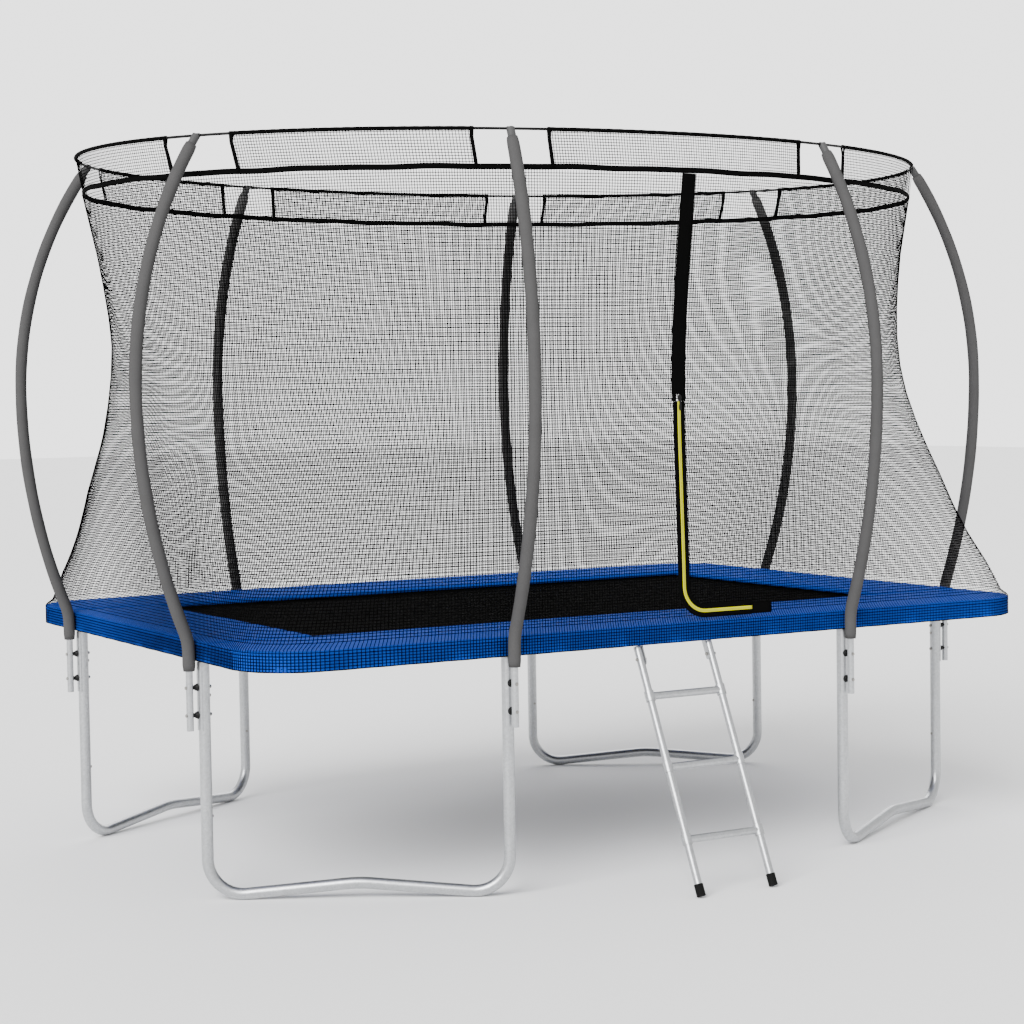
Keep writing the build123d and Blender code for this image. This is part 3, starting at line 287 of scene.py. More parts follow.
# ---------------------------------------------------------------- mesh tools
class Build:
    """Collects vertices, faces and cloth coordinates for one piece."""

    def __init__(self):
        self.verts, self.faces, self.uvs, self.count = [], [], [], 0

    def grid(self, points, uv, wrap=False, close=False):
        """Rows by columns of points. wrap joins the last column to the first, close the last row to the first."""
        rows, columns = points.shape[:2]
        r = np.arange(rows if close else rows - 1)[:, None]
        c = np.arange(columns if wrap else columns - 1)[None, :]
        r2, c2 = (r + 1) % rows, (c + 1) % columns
        quads = np.stack([r * columns + c, r * columns + c2, r2 * columns + c2, r2 * columns + c], -1)
        self.faces += (quads.reshape(-1, 4) + self.count).tolist()
        self.verts.append(points.reshape(-1, 3))
        self.uvs.append(np.broadcast_to(uv, (rows, columns, 2)).reshape(-1, 2))
        self.count += rows * columns

    def sweep(self, path, section, reference, close=False, caps=True):
        """A section (side, up) carried along a path; the side axis is square to the reference."""
        path = np.asarray(path, float)
        if close:
            tangent = np.roll(path, -1, 0) - np.roll(path, 1, 0)
        else:
            tangent = np.gradient(path, axis=0)
        tangent = unit(tangent)
        side = unit(np.cross(tangent, reference))
        up = np.cross(side, tangent)
        section = np.asarray(section, float)
        rings = path[:, None] + section[..., :1] * side[:, None] + section[..., 1:] * up[:, None]
        along = np.concatenate(([0], np.cumsum(np.linalg.norm(np.diff(path, axis=0), axis=1))))
        flat = section if section.ndim == 2 else section[0]
        around = np.concatenate(([0], np.cumsum(np.linalg.norm(np.diff(flat, axis=0), axis=1))))
        uv = np.stack(np.meshgrid(along, around, indexing="ij"), -1)
        base = self.count
        self.grid(rings, uv, wrap=True, close=close)
        if caps and not close:
            sides = rings.shape[1]
            self.faces.append(list(range(base + sides - 1, base - 1, -1)))
            last = base + (len(path) - 1) * sides
            self.faces.append(list(range(last, last + sides)))

    def make(self, name, slot, smooth=True):
        mesh = bpy.data.meshes.new(name)
        mesh.from_pydata(np.concatenate(self.verts).tolist(), [], self.faces)
        loops = np.zeros(len(mesh.loops), np.int32)
        mesh.loops.foreach_get("vertex_index", loops)
        layer = mesh.uv_layers.new(name="Cloth")
        layer.data.foreach_set("uv", np.concatenate(self.uvs)[loops].astype(np.float32).ravel())
        mesh.polygons.foreach_set("use_smooth", np.full(len(mesh.polygons), smooth))
        mesh.materials.append(material(slot))
        piece = bpy.data.objects.new(name, mesh)
        bpy.context.scene.collection.objects.link(piece)
        return piece


def unit(vectors):
    return vectors / np.maximum(np.linalg.norm(vectors, axis=-1, keepdims=True), 1e-12)


def circle(radius, sides, radius_up=None):
    turn = (np.arange(sides) + 0.5) * 2 * math.pi / sides
    return np.stack([radius * np.cos(turn), (radius_up or radius) * np.sin(turn)], -1)


def strip_section(width, thickness, columns=4):
    """Flat band section with softened edges, side by up."""
    across = np.linspace(-0.5, 0.5, columns) * width
    lift = np.full(columns, thickness / 2)
    lift[[0, -1]] *= 0.45
    top = np.stack([across, lift], -1)
    return np.concatenate([top, (top * (1, -1))[::-1]])


def smooth_curve(at, xs, ys):
    """Cubic curve through points, with slopes from their neighbours."""
    slopes = np.gradient(ys, xs)
    index = np.clip(np.searchsorted(xs, at) - 1, 0, len(xs) - 2)
    step = xs[index + 1] - xs[index]
    t = (at - xs[index]) / step
    return ((1 + 2 * t) * (1 - t) ** 2 * ys[index] + t * (1 - t) ** 2 * step * slopes[index]
            + t * t * (3 - 2 * t) * ys[index + 1] + t * t * (t - 1) * step * slopes[index + 1])


def resampled(path, step, close=False):
    """The path with points about one step apart."""
    path = np.asarray(path, float)
    if close:
        path = np.concatenate([path, path[:1]])
    along = np.concatenate(([0], np.cumsum(np.linalg.norm(np.diff(path, axis=0), axis=1))))
    count = max(2, int(round(along[-1] / step)) + 1)
    at = np.linspace(0, along[-1], count)
    points = np.stack([np.interp(at, along, path[:, k]) for k in range(3)], -1)
    return points[:-1] if close else points


def stitches(build, path, outward, step=None, thread=0.0007, close=False):
    """A row of short raised threads along a path; outward lifts them off the cloth."""
    step = step or sizes().stitch
    points = resampled(path, step, close)
    ends = np.roll(points, -1, 0) if close else points[1:]
    starts = points if close else points[:-1]
    lift = unit(np.broadcast_to(np.asarray(outward, float), starts.shape))
    along = ends - starts
    side = unit(np.cross(along, lift))
    rows = []
    for share, high in ((0.12, 0.0), (0.35, 1.0), (0.65, 1.0), (0.88, 0.0)):
        middle = starts + along * share + lift * thread * (high - 0.3)
        rows.append(np.stack([middle - side * thread, middle + lift * thread * 0.9, middle + side * thread], 1))
    block = np.stack(rows, 1)
    for one in block:
        build.grid(one, (0, 0))


def finish_piece(piece, body, *nodes):
    """Ride on a body and stand for the CAD nodes."""
    if body:
        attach(piece, body)
    if nodes:
        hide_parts(*nodes)
    return piece


# ---------------------------------------------------------------- where things are
class Places:
    """Sizes read once from the CAD boxes."""

    def __init__(self):
        hem_low, hem_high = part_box("net_hem")
        band_low, band_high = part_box("net_band")
        pad_low, pad_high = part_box("pad_front")
        left_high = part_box("pad_left")[1]
        self.hem = (hem_high.z - sizes().hem_tall, hem_high.z)
        self.band = (band_low.z, band_high.z)
        self.hem_half = (pad_high.x - sizes().hem_inset, -pad_low.y - sizes().hem_inset)
        self.band_half = (band_high.x - 0.0015, band_high.y - 0.0015)
        ring_low, ring_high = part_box("ring_rods")
        self.ring_radius = (ring_high.z - ring_low.z) / 2
        self.ring_height = (ring_high.z + ring_low.z) / 2
        self.ring_half = (ring_high.x - self.ring_radius, ring_high.y - self.ring_radius)
        self.pad_half = (pad_high.x, -pad_low.y)
        self.pad_top = pad_high.z
        self.skirt_bottom = pad_low.z
        self.opening_half = (-left_high.x, -pad_high.y)
        self.pad_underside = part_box("pad_left")[1].z - 0.018
        mat_low, mat_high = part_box("mat_hem")
        self.mat_half = (mat_high.x, mat_high.y)
        self.mat_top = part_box("jumping_mat")[1].z
        flap_low, flap_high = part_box("door_flap")
        gap = sizes().door_gap
        self.door = (0.0, flap_high.x, flap_low.z - gap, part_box("zip_slider")[1].z - 0.026)
        rail_low, rail_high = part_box("frame_rail_front")
        self.tube = (rail_high.z - rail_low.z) / 2
        self.frame_z = (rail_high.z + rail_low.z) / 2

    def legs(self):
        """Foot point, outward direction and ring angle of the eight legs."""
        found = []
        short, long = sizes().pole_angle_short, sizes().pole_angle_long
        for word_y, side_y in (("front", -1), ("back", 1)):
            for word_x, side_x in (("left", -1), ("right", 1)):
                low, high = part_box(f"leg_base_{word_y}_{word_x}")
                inner_y = (high.y if side_y < 0 else low.y) + side_y * self.tube
                outer_x = (low.x if side_x < 0 else high.x) - side_x * self.tube
                outer_y = (low.y if side_y < 0 else high.y) - side_y * self.tube
                inner_x = (high.x if side_x < 0 else low.x) + side_x * self.tube
                found.append((f"{word_y}_{word_x}_end", np.array((outer_x, inner_y, 0.0)), np.array((side_x, 0.0, 0.0)),
                              side_y * (short if side_x > 0 else 180 - short)))
                found.append((f"{word_y}_{word_x}_side", np.array((inner_x, outer_y, 0.0)), np.array((0.0, side_y, 0.0)),
                              side_y * (long if side_x > 0 else 180 - long)))
        return found


def ellipse_point(half, height, angle):
    turn = np.radians(angle)
    return np.stack([half[0] * np.cos(turn), half[1] * np.sin(turn), np.full_like(turn, height, dtype=float)], -1)


def net_point(places, angle, share, lift=0.0):
    """Point of the net in the direction of an ellipse angle, at a share of its height."""
    angle, share = np.broadcast_arrays(np.asarray(angle, float), np.asarray(share, float))
    growth = smooth_curve(share, NET_PROFILE[:, 0], NET_PROFILE[:, 1])
    squareness = np.exp(smooth_curve(share, NET_PROFILE[:, 0], np.log(NET_PROFILE[:, 2])))
    turn = np.radians(angle)
    slack = np.sin(np.clip(share, 0, 1) * math.pi) ** 0.7
    wave = (np.sin(7 * turn + 5 * share + 0.6) + 0.6 * np.sin(17 * turn - 4 * share + 2.1)
            + 0.45 * np.sin(31 * turn + 9 * share)) * sizes().net_ripple * slack * 0.6
    half = [places.hem_half[k] + growth * (places.band_half[k] - places.hem_half[k]) + wave + lift for k in (0, 1)]
    cos, sin = np.cos(turn), np.sin(turn)
    reach = (np.abs(cos) ** squareness + np.abs(sin) ** squareness) ** (-1 / squareness)
    low, high = places.hem[1], places.band[0]
    return np.stack([half[0] * cos * reach, half[1] * sin * reach, low + share * (high - low)], -1)


def edge_point(places, angle, outset, height):
    """Point round the pad's rounded outer edge in the direction of an ellipse angle."""
    turn = np.radians(np.asarray(angle, float))
    x, y = places.hem_half[0] * np.cos(turn), places.hem_half[1] * np.sin(turn)
    corner = sizes().pad_corner + outset
    flat_x, flat_y = (half + outset - corner for half in places.pad_half)
    low, high = np.full_like(turn, 0.7), np.full_like(turn, 1.5)
    for _ in range(28):
        middle = (low + high) / 2
        inside = np.hypot(np.maximum(np.abs(x * middle) - flat_x, 0),
                          np.maximum(np.abs(y * middle) - flat_y, 0)) < corner
        low, high = np.where(inside, middle, low), np.where(inside, high, middle)
    return np.stack(np.broadcast_arrays(x * low, y * low, height), -1)


def front_point(places, x, z, lift=0.0):
    """Point of the net's front at a distance along the long side and a height."""
    share = (z - places.hem[1]) / (places.band[0] - places.hem[1])
    low, high = np.full_like(share, 235.0), np.full_like(share, 305.0)
    for _ in range(26):
        middle = (low + high) / 2
        right = net_point(places, middle, share)[..., 0] > x
        low, high = np.where(right, low, middle), np.where(right, middle, high)
    return net_point(places, (low + high) / 2, share, lift)


def door_reach(places, x, z):
    """Distance inside the doorway's zip edge, and inside its slanted fold."""
    left, right, sill, top = places.door
    corner = sizes().door_corner
    across, rise = x - left, z - sill
    rounded = corner - np.hypot(corner - across, corner - rise)
    zipped = np.where((across < corner) & (rise < corner), rounded, np.minimum(across, rise))
    width, tall = right - left, top - sill
    fold = (1 - across / width - rise / tall) * width * tall / math.hypot(width, tall)
    return zipped, fold


def door_run(places, step):
    """Points (x, z) down the zip, round its corner and along its sill, with their inward normals."""
    left, right, sill, top = places.door
    corner = sizes().door_corner
    down = np.linspace(top, sill + corner, max(3, int((top - sill - corner) / step)))
    turn = np.linspace(math.pi, 1.5 * math.pi, max(4, int(corner * math.pi / 2 / step)))[1:-1]
    along = np.linspace(left + corner, right, max(3, int((right - left - corner) / step)))
    x = np.concatenate([np.full_like(down, left), left + corner + corner * np.cos(turn), along])
    z = np.concatenate([down, sill + corner + corner * np.sin(turn), np.full_like(along, sill)])
    normal_x = np.concatenate([np.ones_like(down), -np.cos(turn), np.zeros_like(along)])
    normal_z = np.concatenate([np.zeros_like(down), -np.sin(turn), np.ones_like(along)])
    return x, z, normal_x, normal_z


# ---------------------------------------------------------------- net
def split_strand(path, keep):
    """Runs of a path where keep is above zero, cut where it crosses."""
    runs, run = [], []
    for index in range(len(path)):
        if index and (keep[index] > 0) != (keep[index - 1] > 0):
            share = keep[index - 1] / (keep[index - 1] - keep[index])
            cut = path[index - 1] + share * (path[index] - path[index - 1])
            run.append(cut)
            if keep[index] > 0:
                run = [cut]
            else:
                runs.append(run)
                run = []
        if keep[index] > 0:
            run.append(path[index])
    if run:
        runs.append(run)
    return [np.array(r) for r in runs if len(r) > 1 and np.linalg.norm(r[0] - r[-1]) > 0.004]


def even_angles(places, start, end, pitch, share=0.35):
    """Ellipse angles that are one pitch apart along the net's outline."""
    angles = np.linspace(start, end, 400)
    line = net_point(places, angles, share)
    along = np.concatenate(([0], np.cumsum(np.linalg.norm(np.diff(line, axis=0), axis=1))))
    count = max(2, int(round(along[-1] / pitch)))
    return np.interp(np.arange(count) / count * along[-1], along, angles), along[-1]


def net_strands(places, start, end, fine=1):
    """Upright and level cords of one panel, from the skirt's lower edge to the band."""
    pitch, cord = sizes().net_pitch, sizes().net_cord
    uprights, wide = even_angles(places, start, end, pitch)
    shares = np.linspace(0, 1, 14 * fine + 1)
    rows = int(round((places.band[0] - places.hem[1]) / pitch))
    columns = np.linspace(start, end, max(6, int(wide / 0.07)) * fine)
    low, top = places.skirt_bottom + cord, places.pad_top
    rim = ((cord * 0.45, low), (cord * 0.45, (low + top) / 2), (cord * 0.45, top - 0.002), (-0.004, top + 0.0052))
    strands = []
    for angle in uprights:
        lower = [edge_point(places, angle, outset, height) for outset, height in rim]
        strands.append((np.concatenate([lower, net_point(places, angle, shares)]), "up"))
    for row in range(rows):
        strands.append((net_point(places, columns, row / rows), "level"))
    dense = np.linspace(start, end, max(10, int(wide / 0.025)))
    for height in np.arange(low, top - 0.3 * pitch, pitch):
        strands.append((edge_point(places, dense, cord * 0.45, height), "level"))
    return strands, wide


def add_strand(build, path, kind, cord):
    middle = path[len(path) // 2]
    outward = unit(np.array((middle[0], middle[1] * 1.6, 0.0)))
    side, up = (cord / 2, NET_CORD_THICKNESS / 2) if kind == "up" else (NET_CORD_THICKNESS / 2, cord / 2)
    lift = outward * NET_CORD_THICKNESS * (0.45 if kind == "up" else -0.45)
    reference = outward if kind == "up" else UP
    build.sweep(path + lift, ((side, up), (-side, up), (-side, -up), (side, -up)), reference)


def make_net_panel(places, name, start, end, nodes):
    build = Build()
    strands, wide = net_strands(places, start, end)
    for path, kind in strands:
        add_strand(build, path, kind, sizes().net_cord)
    piece = finish_piece(build.make(name, "net_black", smooth=False), "frame", *nodes)
    return piece


def make_front_net(places):
    """The panel with the doorway, the flap that fills it, and the net over the skirt flap."""
    long = sizes().pole_angle_long
    start, end = 180 + long, 360 - long
    cord = sizes().net_cord
    low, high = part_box("skirt_flap")
    middle, half = (low.x + high.x) / 2, (high.x - low.x) / 2
    panel, flap, skirt = Build(), Build(), Build()
    coarse, wide = net_strands(places, start, end)
    fine, _ = net_strands(places, start, end, fine=4)
    for (plain, kind), (path, _) in zip(coarse, fine):
        zipped, fold = door_reach(places, path[:, 0], path[:, 2])
        inside = np.minimum(zipped, fold)
        across = np.abs(path[:, 0] - middle) - half
        below = high.z - path[:, 2]
        over = np.minimum(below, -across)
        if inside.max() < -0.002 and over.max() < -0.002:
            add_strand(panel, plain, kind, cord)
            continue
        for run in split_strand(path, -np.maximum(inside, over)):
            add_strand(panel, run, kind, cord)
        for run in split_strand(path, np.minimum(zipped - sizes().door_gap, fold)):
            add_strand(flap, run, kind, cord)
        for run in split_strand(path, over):
            add_strand(skirt, run, kind, cord)
    front = finish_piece(panel.make("net_front", "net_black", smooth=False), "frame", "net_panel_front")
    door = finish_piece(flap.make("door_flap_net", "net_black", smooth=False), None, "door_flap")
    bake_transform(door)
    lower = skirt.make("skirt_flap_net", "net_black", smooth=False)
    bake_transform(lower)


class TRAMPOLINE_OT_net(Operator):
    """Knotless net of the enclosure, with its door flap"""

    bl_idname = "trampoline.net"
    bl_label = "Net"

    def execute(self, context):
        places = Places()
        short, long = sizes().pole_angle_short, sizes().pole_angle_long
        make_net_panel(places, "net_right", -short, short, ["net_panel_right"])
        make_net_panel(places, "net_back", long, 180 - long, ["net_panel_back"])
        make_net_panel(places, "net_left", 180 - short, 180 + short, ["net_panel_left"])
        corners = (("back_right", short, long), ("back_left", 180 - long, 180 - short),
                   ("front_left", 180 + short, 180 + long), ("front_right", 360 - long, 360 - short))
        for word, start, end in corners:
            make_net_panel(places, "net_corner_" + word, start, end, ["net_corner_panels"])
        make_front_net(places)
        self.make_top_strips(places)
        return {"FINISHED"}

    def make_top_strips(self, places):
        """Strips of net between the band and the ring, with their straps."""
        strips, straps, threads, wraps = Build(), Build(), Build(), Build()
        cord, pitch = sizes().net_cord, sizes().net_pitch
        low, high = places.band[1], places.ring_height - places.ring_radius
        short, long = sizes().pole_angle_short, sizes().pole_angle_long
        angles = [short, long, 180 - long, 180 - short, 180 + short, 180 + long, 360 - long, 360 - short]
        spreads = [5.6, 4.6, 4.6, 5.6] * 2
        for index, (angle, spread) in enumerate(zip(angles, spreads)):
            after = angles[(index + 1) % 8] + (360 if index == 7 else 0)
            start, end = angle + spread, after - spreads[(index + 1) % 8]
            arc = ellipse_point(places.ring_half, 0, np.linspace(start, end, 60))
            wide = np.linalg.norm(np.diff(arc, axis=0), axis=1).sum()
            ups = np.linspace(start, end, int(wide / pitch))
            for one in ups[1:-1]:
                ends = np.array([self.upper_point(places, one, share) for share in (0.0, 0.5, 1.0)])
                add_strand(strips, ends, "up", cord)
            rows = int(round((high - low) / pitch))
            columns = np.linspace(start, end, max(6, int(wide / 0.07)))
            for row in range(rows):
                add_strand(strips, self.upper_point(places, columns, (row + 0.5) / rows), "level", cord)
            self.make_wrap(places, wraps, start, end)
            for side in (start, end):
                self.make_strap(places, straps, threads, side)
        net = finish_piece(strips.make("net_top", "net_black", smooth=False), "frame", "net_top_strips")
        loops = finish_piece(straps.make("net_strap_loops", "webbing_black"), "frame", "net_straps")
        finish_piece(threads.make("net_strap_stitches", "net_black"), "frame")
        finish_piece(wraps.make("net_ring_wraps", "webbing_black"), "frame")

    def make_wrap(self, places, wraps, start, end):
        """Edge of the net folded round the ring and gathered a little."""
        angles = np.linspace(start, end, max(8, int((end - start) * 2.2)))
        line = ellipse_point(places.ring_half, places.ring_height, angles)
        ring = circle(1.0, 10)
        ripple = 1 + 0.05 * np.sin(np.arange(len(angles)) * 2.1)
        wraps.sweep(line, ring[None] * ((places.ring_radius + 0.0024) * ripple)[:, None, None], UP)

    def upper_point(self, places, angle, share):
        """Point between the band's upper edge and the underside of the ring."""
        low = ellipse_point(places.band_half, places.band[1], angle)
        high = ellipse_point(places.ring_half, places.ring_height - places.ring_radius, angle)
        return low + (high - low) * np.asarray(share)[..., None]

    def make_strap(self, places, straps, threads, angle):
        """Webbing from the band's lower edge, once round the ring and back to the band."""
        foot = ellipse_point(places.band_half, places.band[0] + 0.002, angle)
        top = ellipse_point(places.ring_half, places.ring_height, angle)
        outward = unit(np.array((top[0] / places.ring_half[0] ** 2, top[1] / places.ring_half[1] ** 2, 0)))
        radius = places.ring_radius + 0.0022
        turn = np.linspace(0, math.pi, 9)
        loop = top + outward * (radius * np.cos(turn))[:, None] + UP * (radius * np.sin(turn))[:, None]
        front = foot + outward * 0.0032
        back = foot - outward * 0.0032
        join = top - UP * 0.03
        path = [front, front + UP * 0.02, join + outward * 0.0022, *loop,
                join - outward * 0.0022, back + UP * 0.02, back]
        across = np.cross(UP, outward)
        straps.sweep(path, strip_section(0.0016, sizes().strap_width), across)
        for level in (0.006, 0.016):
            row = [front + UP * level + outward * 0.0011 + across * shift for shift in (-0.005, 0.005)]
            stitches(threads, row, outward, 0.004)
        row = [join + outward * 0.0035 + across * shift for shift in (-0.005, 0.005)]
        stitches(threads, row, outward, 0.004)


class TRAMPOLINE_OT_net_edges(Operator):
    """Band webbing, hem, zip and the webbing above the zip"""

    bl_idname = "trampoline.net_edges"
    bl_label = "Net edges and zip"

    def execute(self, context):
        places = Places()
        self.make_band(places)
        self.make_hem(places)
        self.make_zip(places)
        self.make_webbing(places)
        self.make_slider(places)
        return {"FINISHED"}

    def make_band(self, places):
        """Folded webbing round the top of the net."""
        angles = np.linspace(0, 360, 240, endpoint=False)
        middle = (places.band[0] + places.band[1]) / 2
        wave = 0.0012 * np.sin(np.radians(angles) * 23) + 0.0008 * np.sin(np.radians(angles) * 41 + 1)
        line = ellipse_point(places.band_half, middle, angles)
        line[:, 2] += wave
        build, threads = Build(), Build()
        tall = places.band[1] - places.band[0]
        build.sweep(line, strip_section(0.003, tall), UP, close=True)
        for shift in (-0.36, 0.36):
            row = ellipse_point([h + 0.0016 for h in places.band_half], middle + shift * tall, angles)
            row[:, 2] += wave
            stitches(threads, row, unit(resampled(row, sizes().stitch, True) * (1, 1, 0)), close=True)
        band = finish_piece(build.make("band_webbing", "webbing_black"), "frame", "net_band")
        seam = finish_piece(threads.make("band_stitches", "net_black"), "frame")

    def make_hem(self, places):
        """Bound edge of the net along the skirt's lower edge, open over the skirt flap."""
        low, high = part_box("skirt_flap")
        sides = np.array((low.x - 0.0015, high.x + 0.0015)) / places.hem_half[0]
        reach = np.degrees(np.arccos(np.clip(sides, -1, 1)))
        angles = np.linspace(-reach[1], 360 - reach[0], 900)
        tall, cord = 0.0032, sizes().net_cord
        line = resampled(edge_point(places, angles, cord * 0.6, places.skirt_bottom + tall / 2), 0.02)
        along = np.linspace(0, 2 * math.pi, len(line))
        line[:, 2] += 0.0004 * np.sin(70 * along)
        build = Build()
        build.sweep(line, strip_section(0.0014, tall), UP)
        finish_piece(build.make("net_hem_binding", "webbing_black"), "frame", "net_hem")

    def make_zip(self, places):
        """Two tapes with a coloured chain: one side rides on the frame, the other sits on the flap's side of the chain.
        """
        gap, wide, chain = sizes().door_gap, sizes().tape_width, sizes().chain_width
        sides = (("fixed", "zip_tape_net_side", -wide, 0.0008, -chain, 0.001),
                 ("flap", "zip_tape_door_side", gap - 0.0008, gap + wide, gap - 0.001, gap + chain))
        for word, node, inner, outer, chain_inner, chain_outer in sides:
            tape = self.make_tape(places, "zip_tape_" + word, "webbing_black", inner, outer, 0.0016, 0.0030)
            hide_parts(node)
            strip = self.make_tape(places, "zip_chain_" + word, "zip_yellow",
                                   chain_inner, chain_outer, 0.0031, 0.0042)
            teeth = self.make_teeth(places, word, gap)
            for piece in (tape, strip, teeth):
                self.place_zip_piece(places, piece, word)
        self.make_end_tab(places)

    def make_tape(self, places, name, slot, inner, outer, back, face):
        """Strip along the zip between two distances from its edge."""
        x, z, normal_x, normal_z = door_run(places, 0.012)
        offsets = np.linspace(inner, outer, 4)
        across = np.concatenate([offsets, offsets[::-1]])
        lifts = np.concatenate([np.full(4, back), (face - 0.0004, face, face, face - 0.0004)])
        points = front_point(places, x[:, None] + normal_x[:, None] * across, z[:, None] + normal_z[:, None] * across,
                             np.broadcast_to(lifts, (len(x), 8)))
        along = np.concatenate(([0], np.cumsum(np.hypot(np.diff(x), np.diff(z)))))
        build = Build()
        build.grid(points, np.stack(np.broadcast_arrays(along[:, None], across), -1), wrap=True)
        build.faces.append([7, 6, 5, 4, 3, 2, 1, 0])
        build.faces.append(list(range(build.count - 8, build.count)))
        return build.make(name, slot)

    def make_teeth(self, places, word, gap):
        """Every other tooth of the chain, from one tape."""
        x, z, normal_x, normal_z = door_run(places, sizes().tooth_pitch)
        first, start, reach = (0, 0.0, 0.0024) if word == "fixed" else (1, gap, -0.0024)
        picked = slice(first, len(x) - 1, 2)
        shifts = start + reach * np.array((-0.9, 0.1, 1.0))
        points = front_point(places, x[picked, None] + normal_x[picked, None] * shifts,
                             z[picked, None] + normal_z[picked, None] * shifts, 0.0044)
        build = Build()
        for path, nx, nz in zip(points, normal_x[picked], normal_z[picked]):
            build.sweep(path, circle(0.0013, 5, 0.0010), (-nz, 0, nx))
        return build.make("zip_teeth_" + word, "zip_yellow")

    def make_end_tab(self, places):
        """Patch of webbing beyond the lower end of the zip."""
        right, sill = places.door[1], places.door[2]
        half, long = 0.0225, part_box("door_webbing")[1].x - places.door[1] - 0.0005
        runs = right + np.linspace(0.001, long, 7)
        across = np.array((-1, -0.9, 0.9, 1, 1, 0.9, -0.9, -1)) * half
        lifts = np.array((0.0030, 0.0038, 0.0038, 0.0030, 0.0016, 0.0016, 0.0016, 0.0016))
        points = front_point(places, np.broadcast_to(runs[:, None], (7, 8)), np.broadcast_to(sill + across, (7, 8)),
                             np.broadcast_to(lifts, (7, 8)))
        build, threads = Build(), Build()
        build.grid(points, np.stack(np.broadcast_arrays(runs[:, None], across), -1), wrap=True)
        build.faces.append([7, 6, 5, 4, 3, 2, 1, 0])
        build.faces.append(list(range(build.count - 8, build.count)))
        for share in (-0.8, 0.8):
            row = front_point(places, runs, np.full(7, sill + share * half), np.full(7, 0.0039))
            stitches(threads, row, (0, -1, 0), 0.004)
        for reach in (0.05, 0.95):
            row = front_point(places, np.full(5, right + reach * long), sill + np.linspace(-0.8, 0.8, 5) * half,
                              np.full(5, 0.0039))
            stitches(threads, row, (0, -1, 0), 0.004)
        finish_piece(build.make("zip_end_tab", "webbing_black"), "frame")
        finish_piece(threads.make("zip_end_stitches", "net_black"), "frame")

    def place_zip_piece(self, places, piece, word):
        if word == "fixed":
            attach(piece, "frame")
        else:
            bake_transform(piece)

    def make_webbing(self, places):
        """Upright webbing from the zip to the band, with two rows of stitches."""
        half, foot = sizes().webbing_width / 2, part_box("zip_slider")[1].z + 0.001
        rows = np.linspace(foot, places.band[0], 60)
        across = np.array((-1, -0.93, -0.4, 0.4, 0.93, 1))
        columns = np.concatenate([across, across[::-1]]) * half
        lifts = np.concatenate([[0.0022, 0.0034, 0.0036, 0.0036, 0.0034, 0.0022], [0.0016] * 6])
        points = front_point(places, np.broadcast_to(columns, (60, 12)), np.broadcast_to(rows[:, None], (60, 12)),
                             np.broadcast_to(lifts, (60, 12)))
        build, threads = Build(), Build()
        uv = np.stack(np.broadcast_arrays(columns, rows[:, None]), -1)
        build.grid(points, uv, wrap=True)
        for side in (-1, 1):
            beside = np.array((0.32, 0.94, 0.94, 0.32)) * half * side
            flank = np.linspace(places.door[3] + 0.0006, foot, 5)
            build.grid(front_point(places, np.broadcast_to(beside, (5, 4)), np.broadcast_to(flank[:, None], (5, 4)),
                                   np.broadcast_to((0.0032, 0.0032, 0.0018, 0.0018), (5, 4))),
                       np.stack(np.broadcast_arrays(beside, flank[:, None]), -1), wrap=True)
        for share in (-0.84, 0.84):
            row = front_point(places, np.full(60, share * half), rows, np.full(60, 0.0036))
            stitches(threads, row, (0, -1, 0), 0.005)
        for level in (0.006, 0.012):
            row = front_point(places, np.linspace(-half, half, 8), np.full(8, foot + level), np.full(8, 0.0036))
            stitches(threads, row, (0, -1, 0), 0.004)
        webbing = finish_piece(build.make("door_webbing_strip", "webbing_black"), "frame", "door_webbing")
        seam = finish_piece(threads.make("door_webbing_stitches", "net_black"), "frame")

    def make_slider(self, places):
        """Slider body with its bridge and hanging puller."""
        low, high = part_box("zip_slider")
        top = places.door[3]
        face = low.y + (high.y - low.y) * 0.55
        wide = high.x - low.x
        build = Build()
        outline = circle(0.5, 14)
        levels = ((0.0, 0.72, 0.62), (0.25, 1.0, 0.95), (0.6, 1.0, 1.0), (1.0, 0.8, 0.7))
        rings = []
        for share, grow, high_grow in levels:
            ring = np.zeros((14, 3))
            ring[:, 0] = outline[:, 0] * wide * grow
            ring[:, 2] = top + 0.013 + outline[:, 1] * 0.026 * high_grow
            ring[:, 1] = high.y - share * (high.y - face)
            rings.append(ring)
        build.grid(np.array(rings), (0, 0), wrap=True)
        build.faces.append(list(range(build.count - 14, build.count)))
        build.faces.append(list(range(13, -1, -1)))
        bridge = [(0, face + 0.001, top + 0.022), (0, face - 0.0028, top + 0.018), (0, face - 0.0028, top + 0.009),
                  (0, face + 0.001, top + 0.005)]
        build.sweep(bridge, circle(0.0016, 6), (1, 0, 0))
        body = finish_piece(build.make("zip_slider_body", "black_plastic"), "zip_slider", "zip_slider")
        pull = Build()
        turn = np.linspace(0, 2 * math.pi, 20, endpoint=False)
        ring = np.stack([0.0045 * np.sin(turn), np.full(20, face - 0.0018), top + 0.010 + 0.0045 * np.cos(turn)], -1)
        pull.sweep(ring, circle(0.0008, 6), (0, 1, 0), close=True)
        tongue = [(0, face - 0.0016, top + 0.0065 - 0.008 * k) for k in range(6)]
        section = np.array([strip_section(w, 0.0024) for w in (0.005, 0.0075, 0.009, 0.0105, 0.011, 0.007)])
        pull.sweep(tongue, section, (0, 1, 0))
        puller = finish_piece(pull.make("zip_puller", "black_plastic"), "zip_slider")
        return body, puller


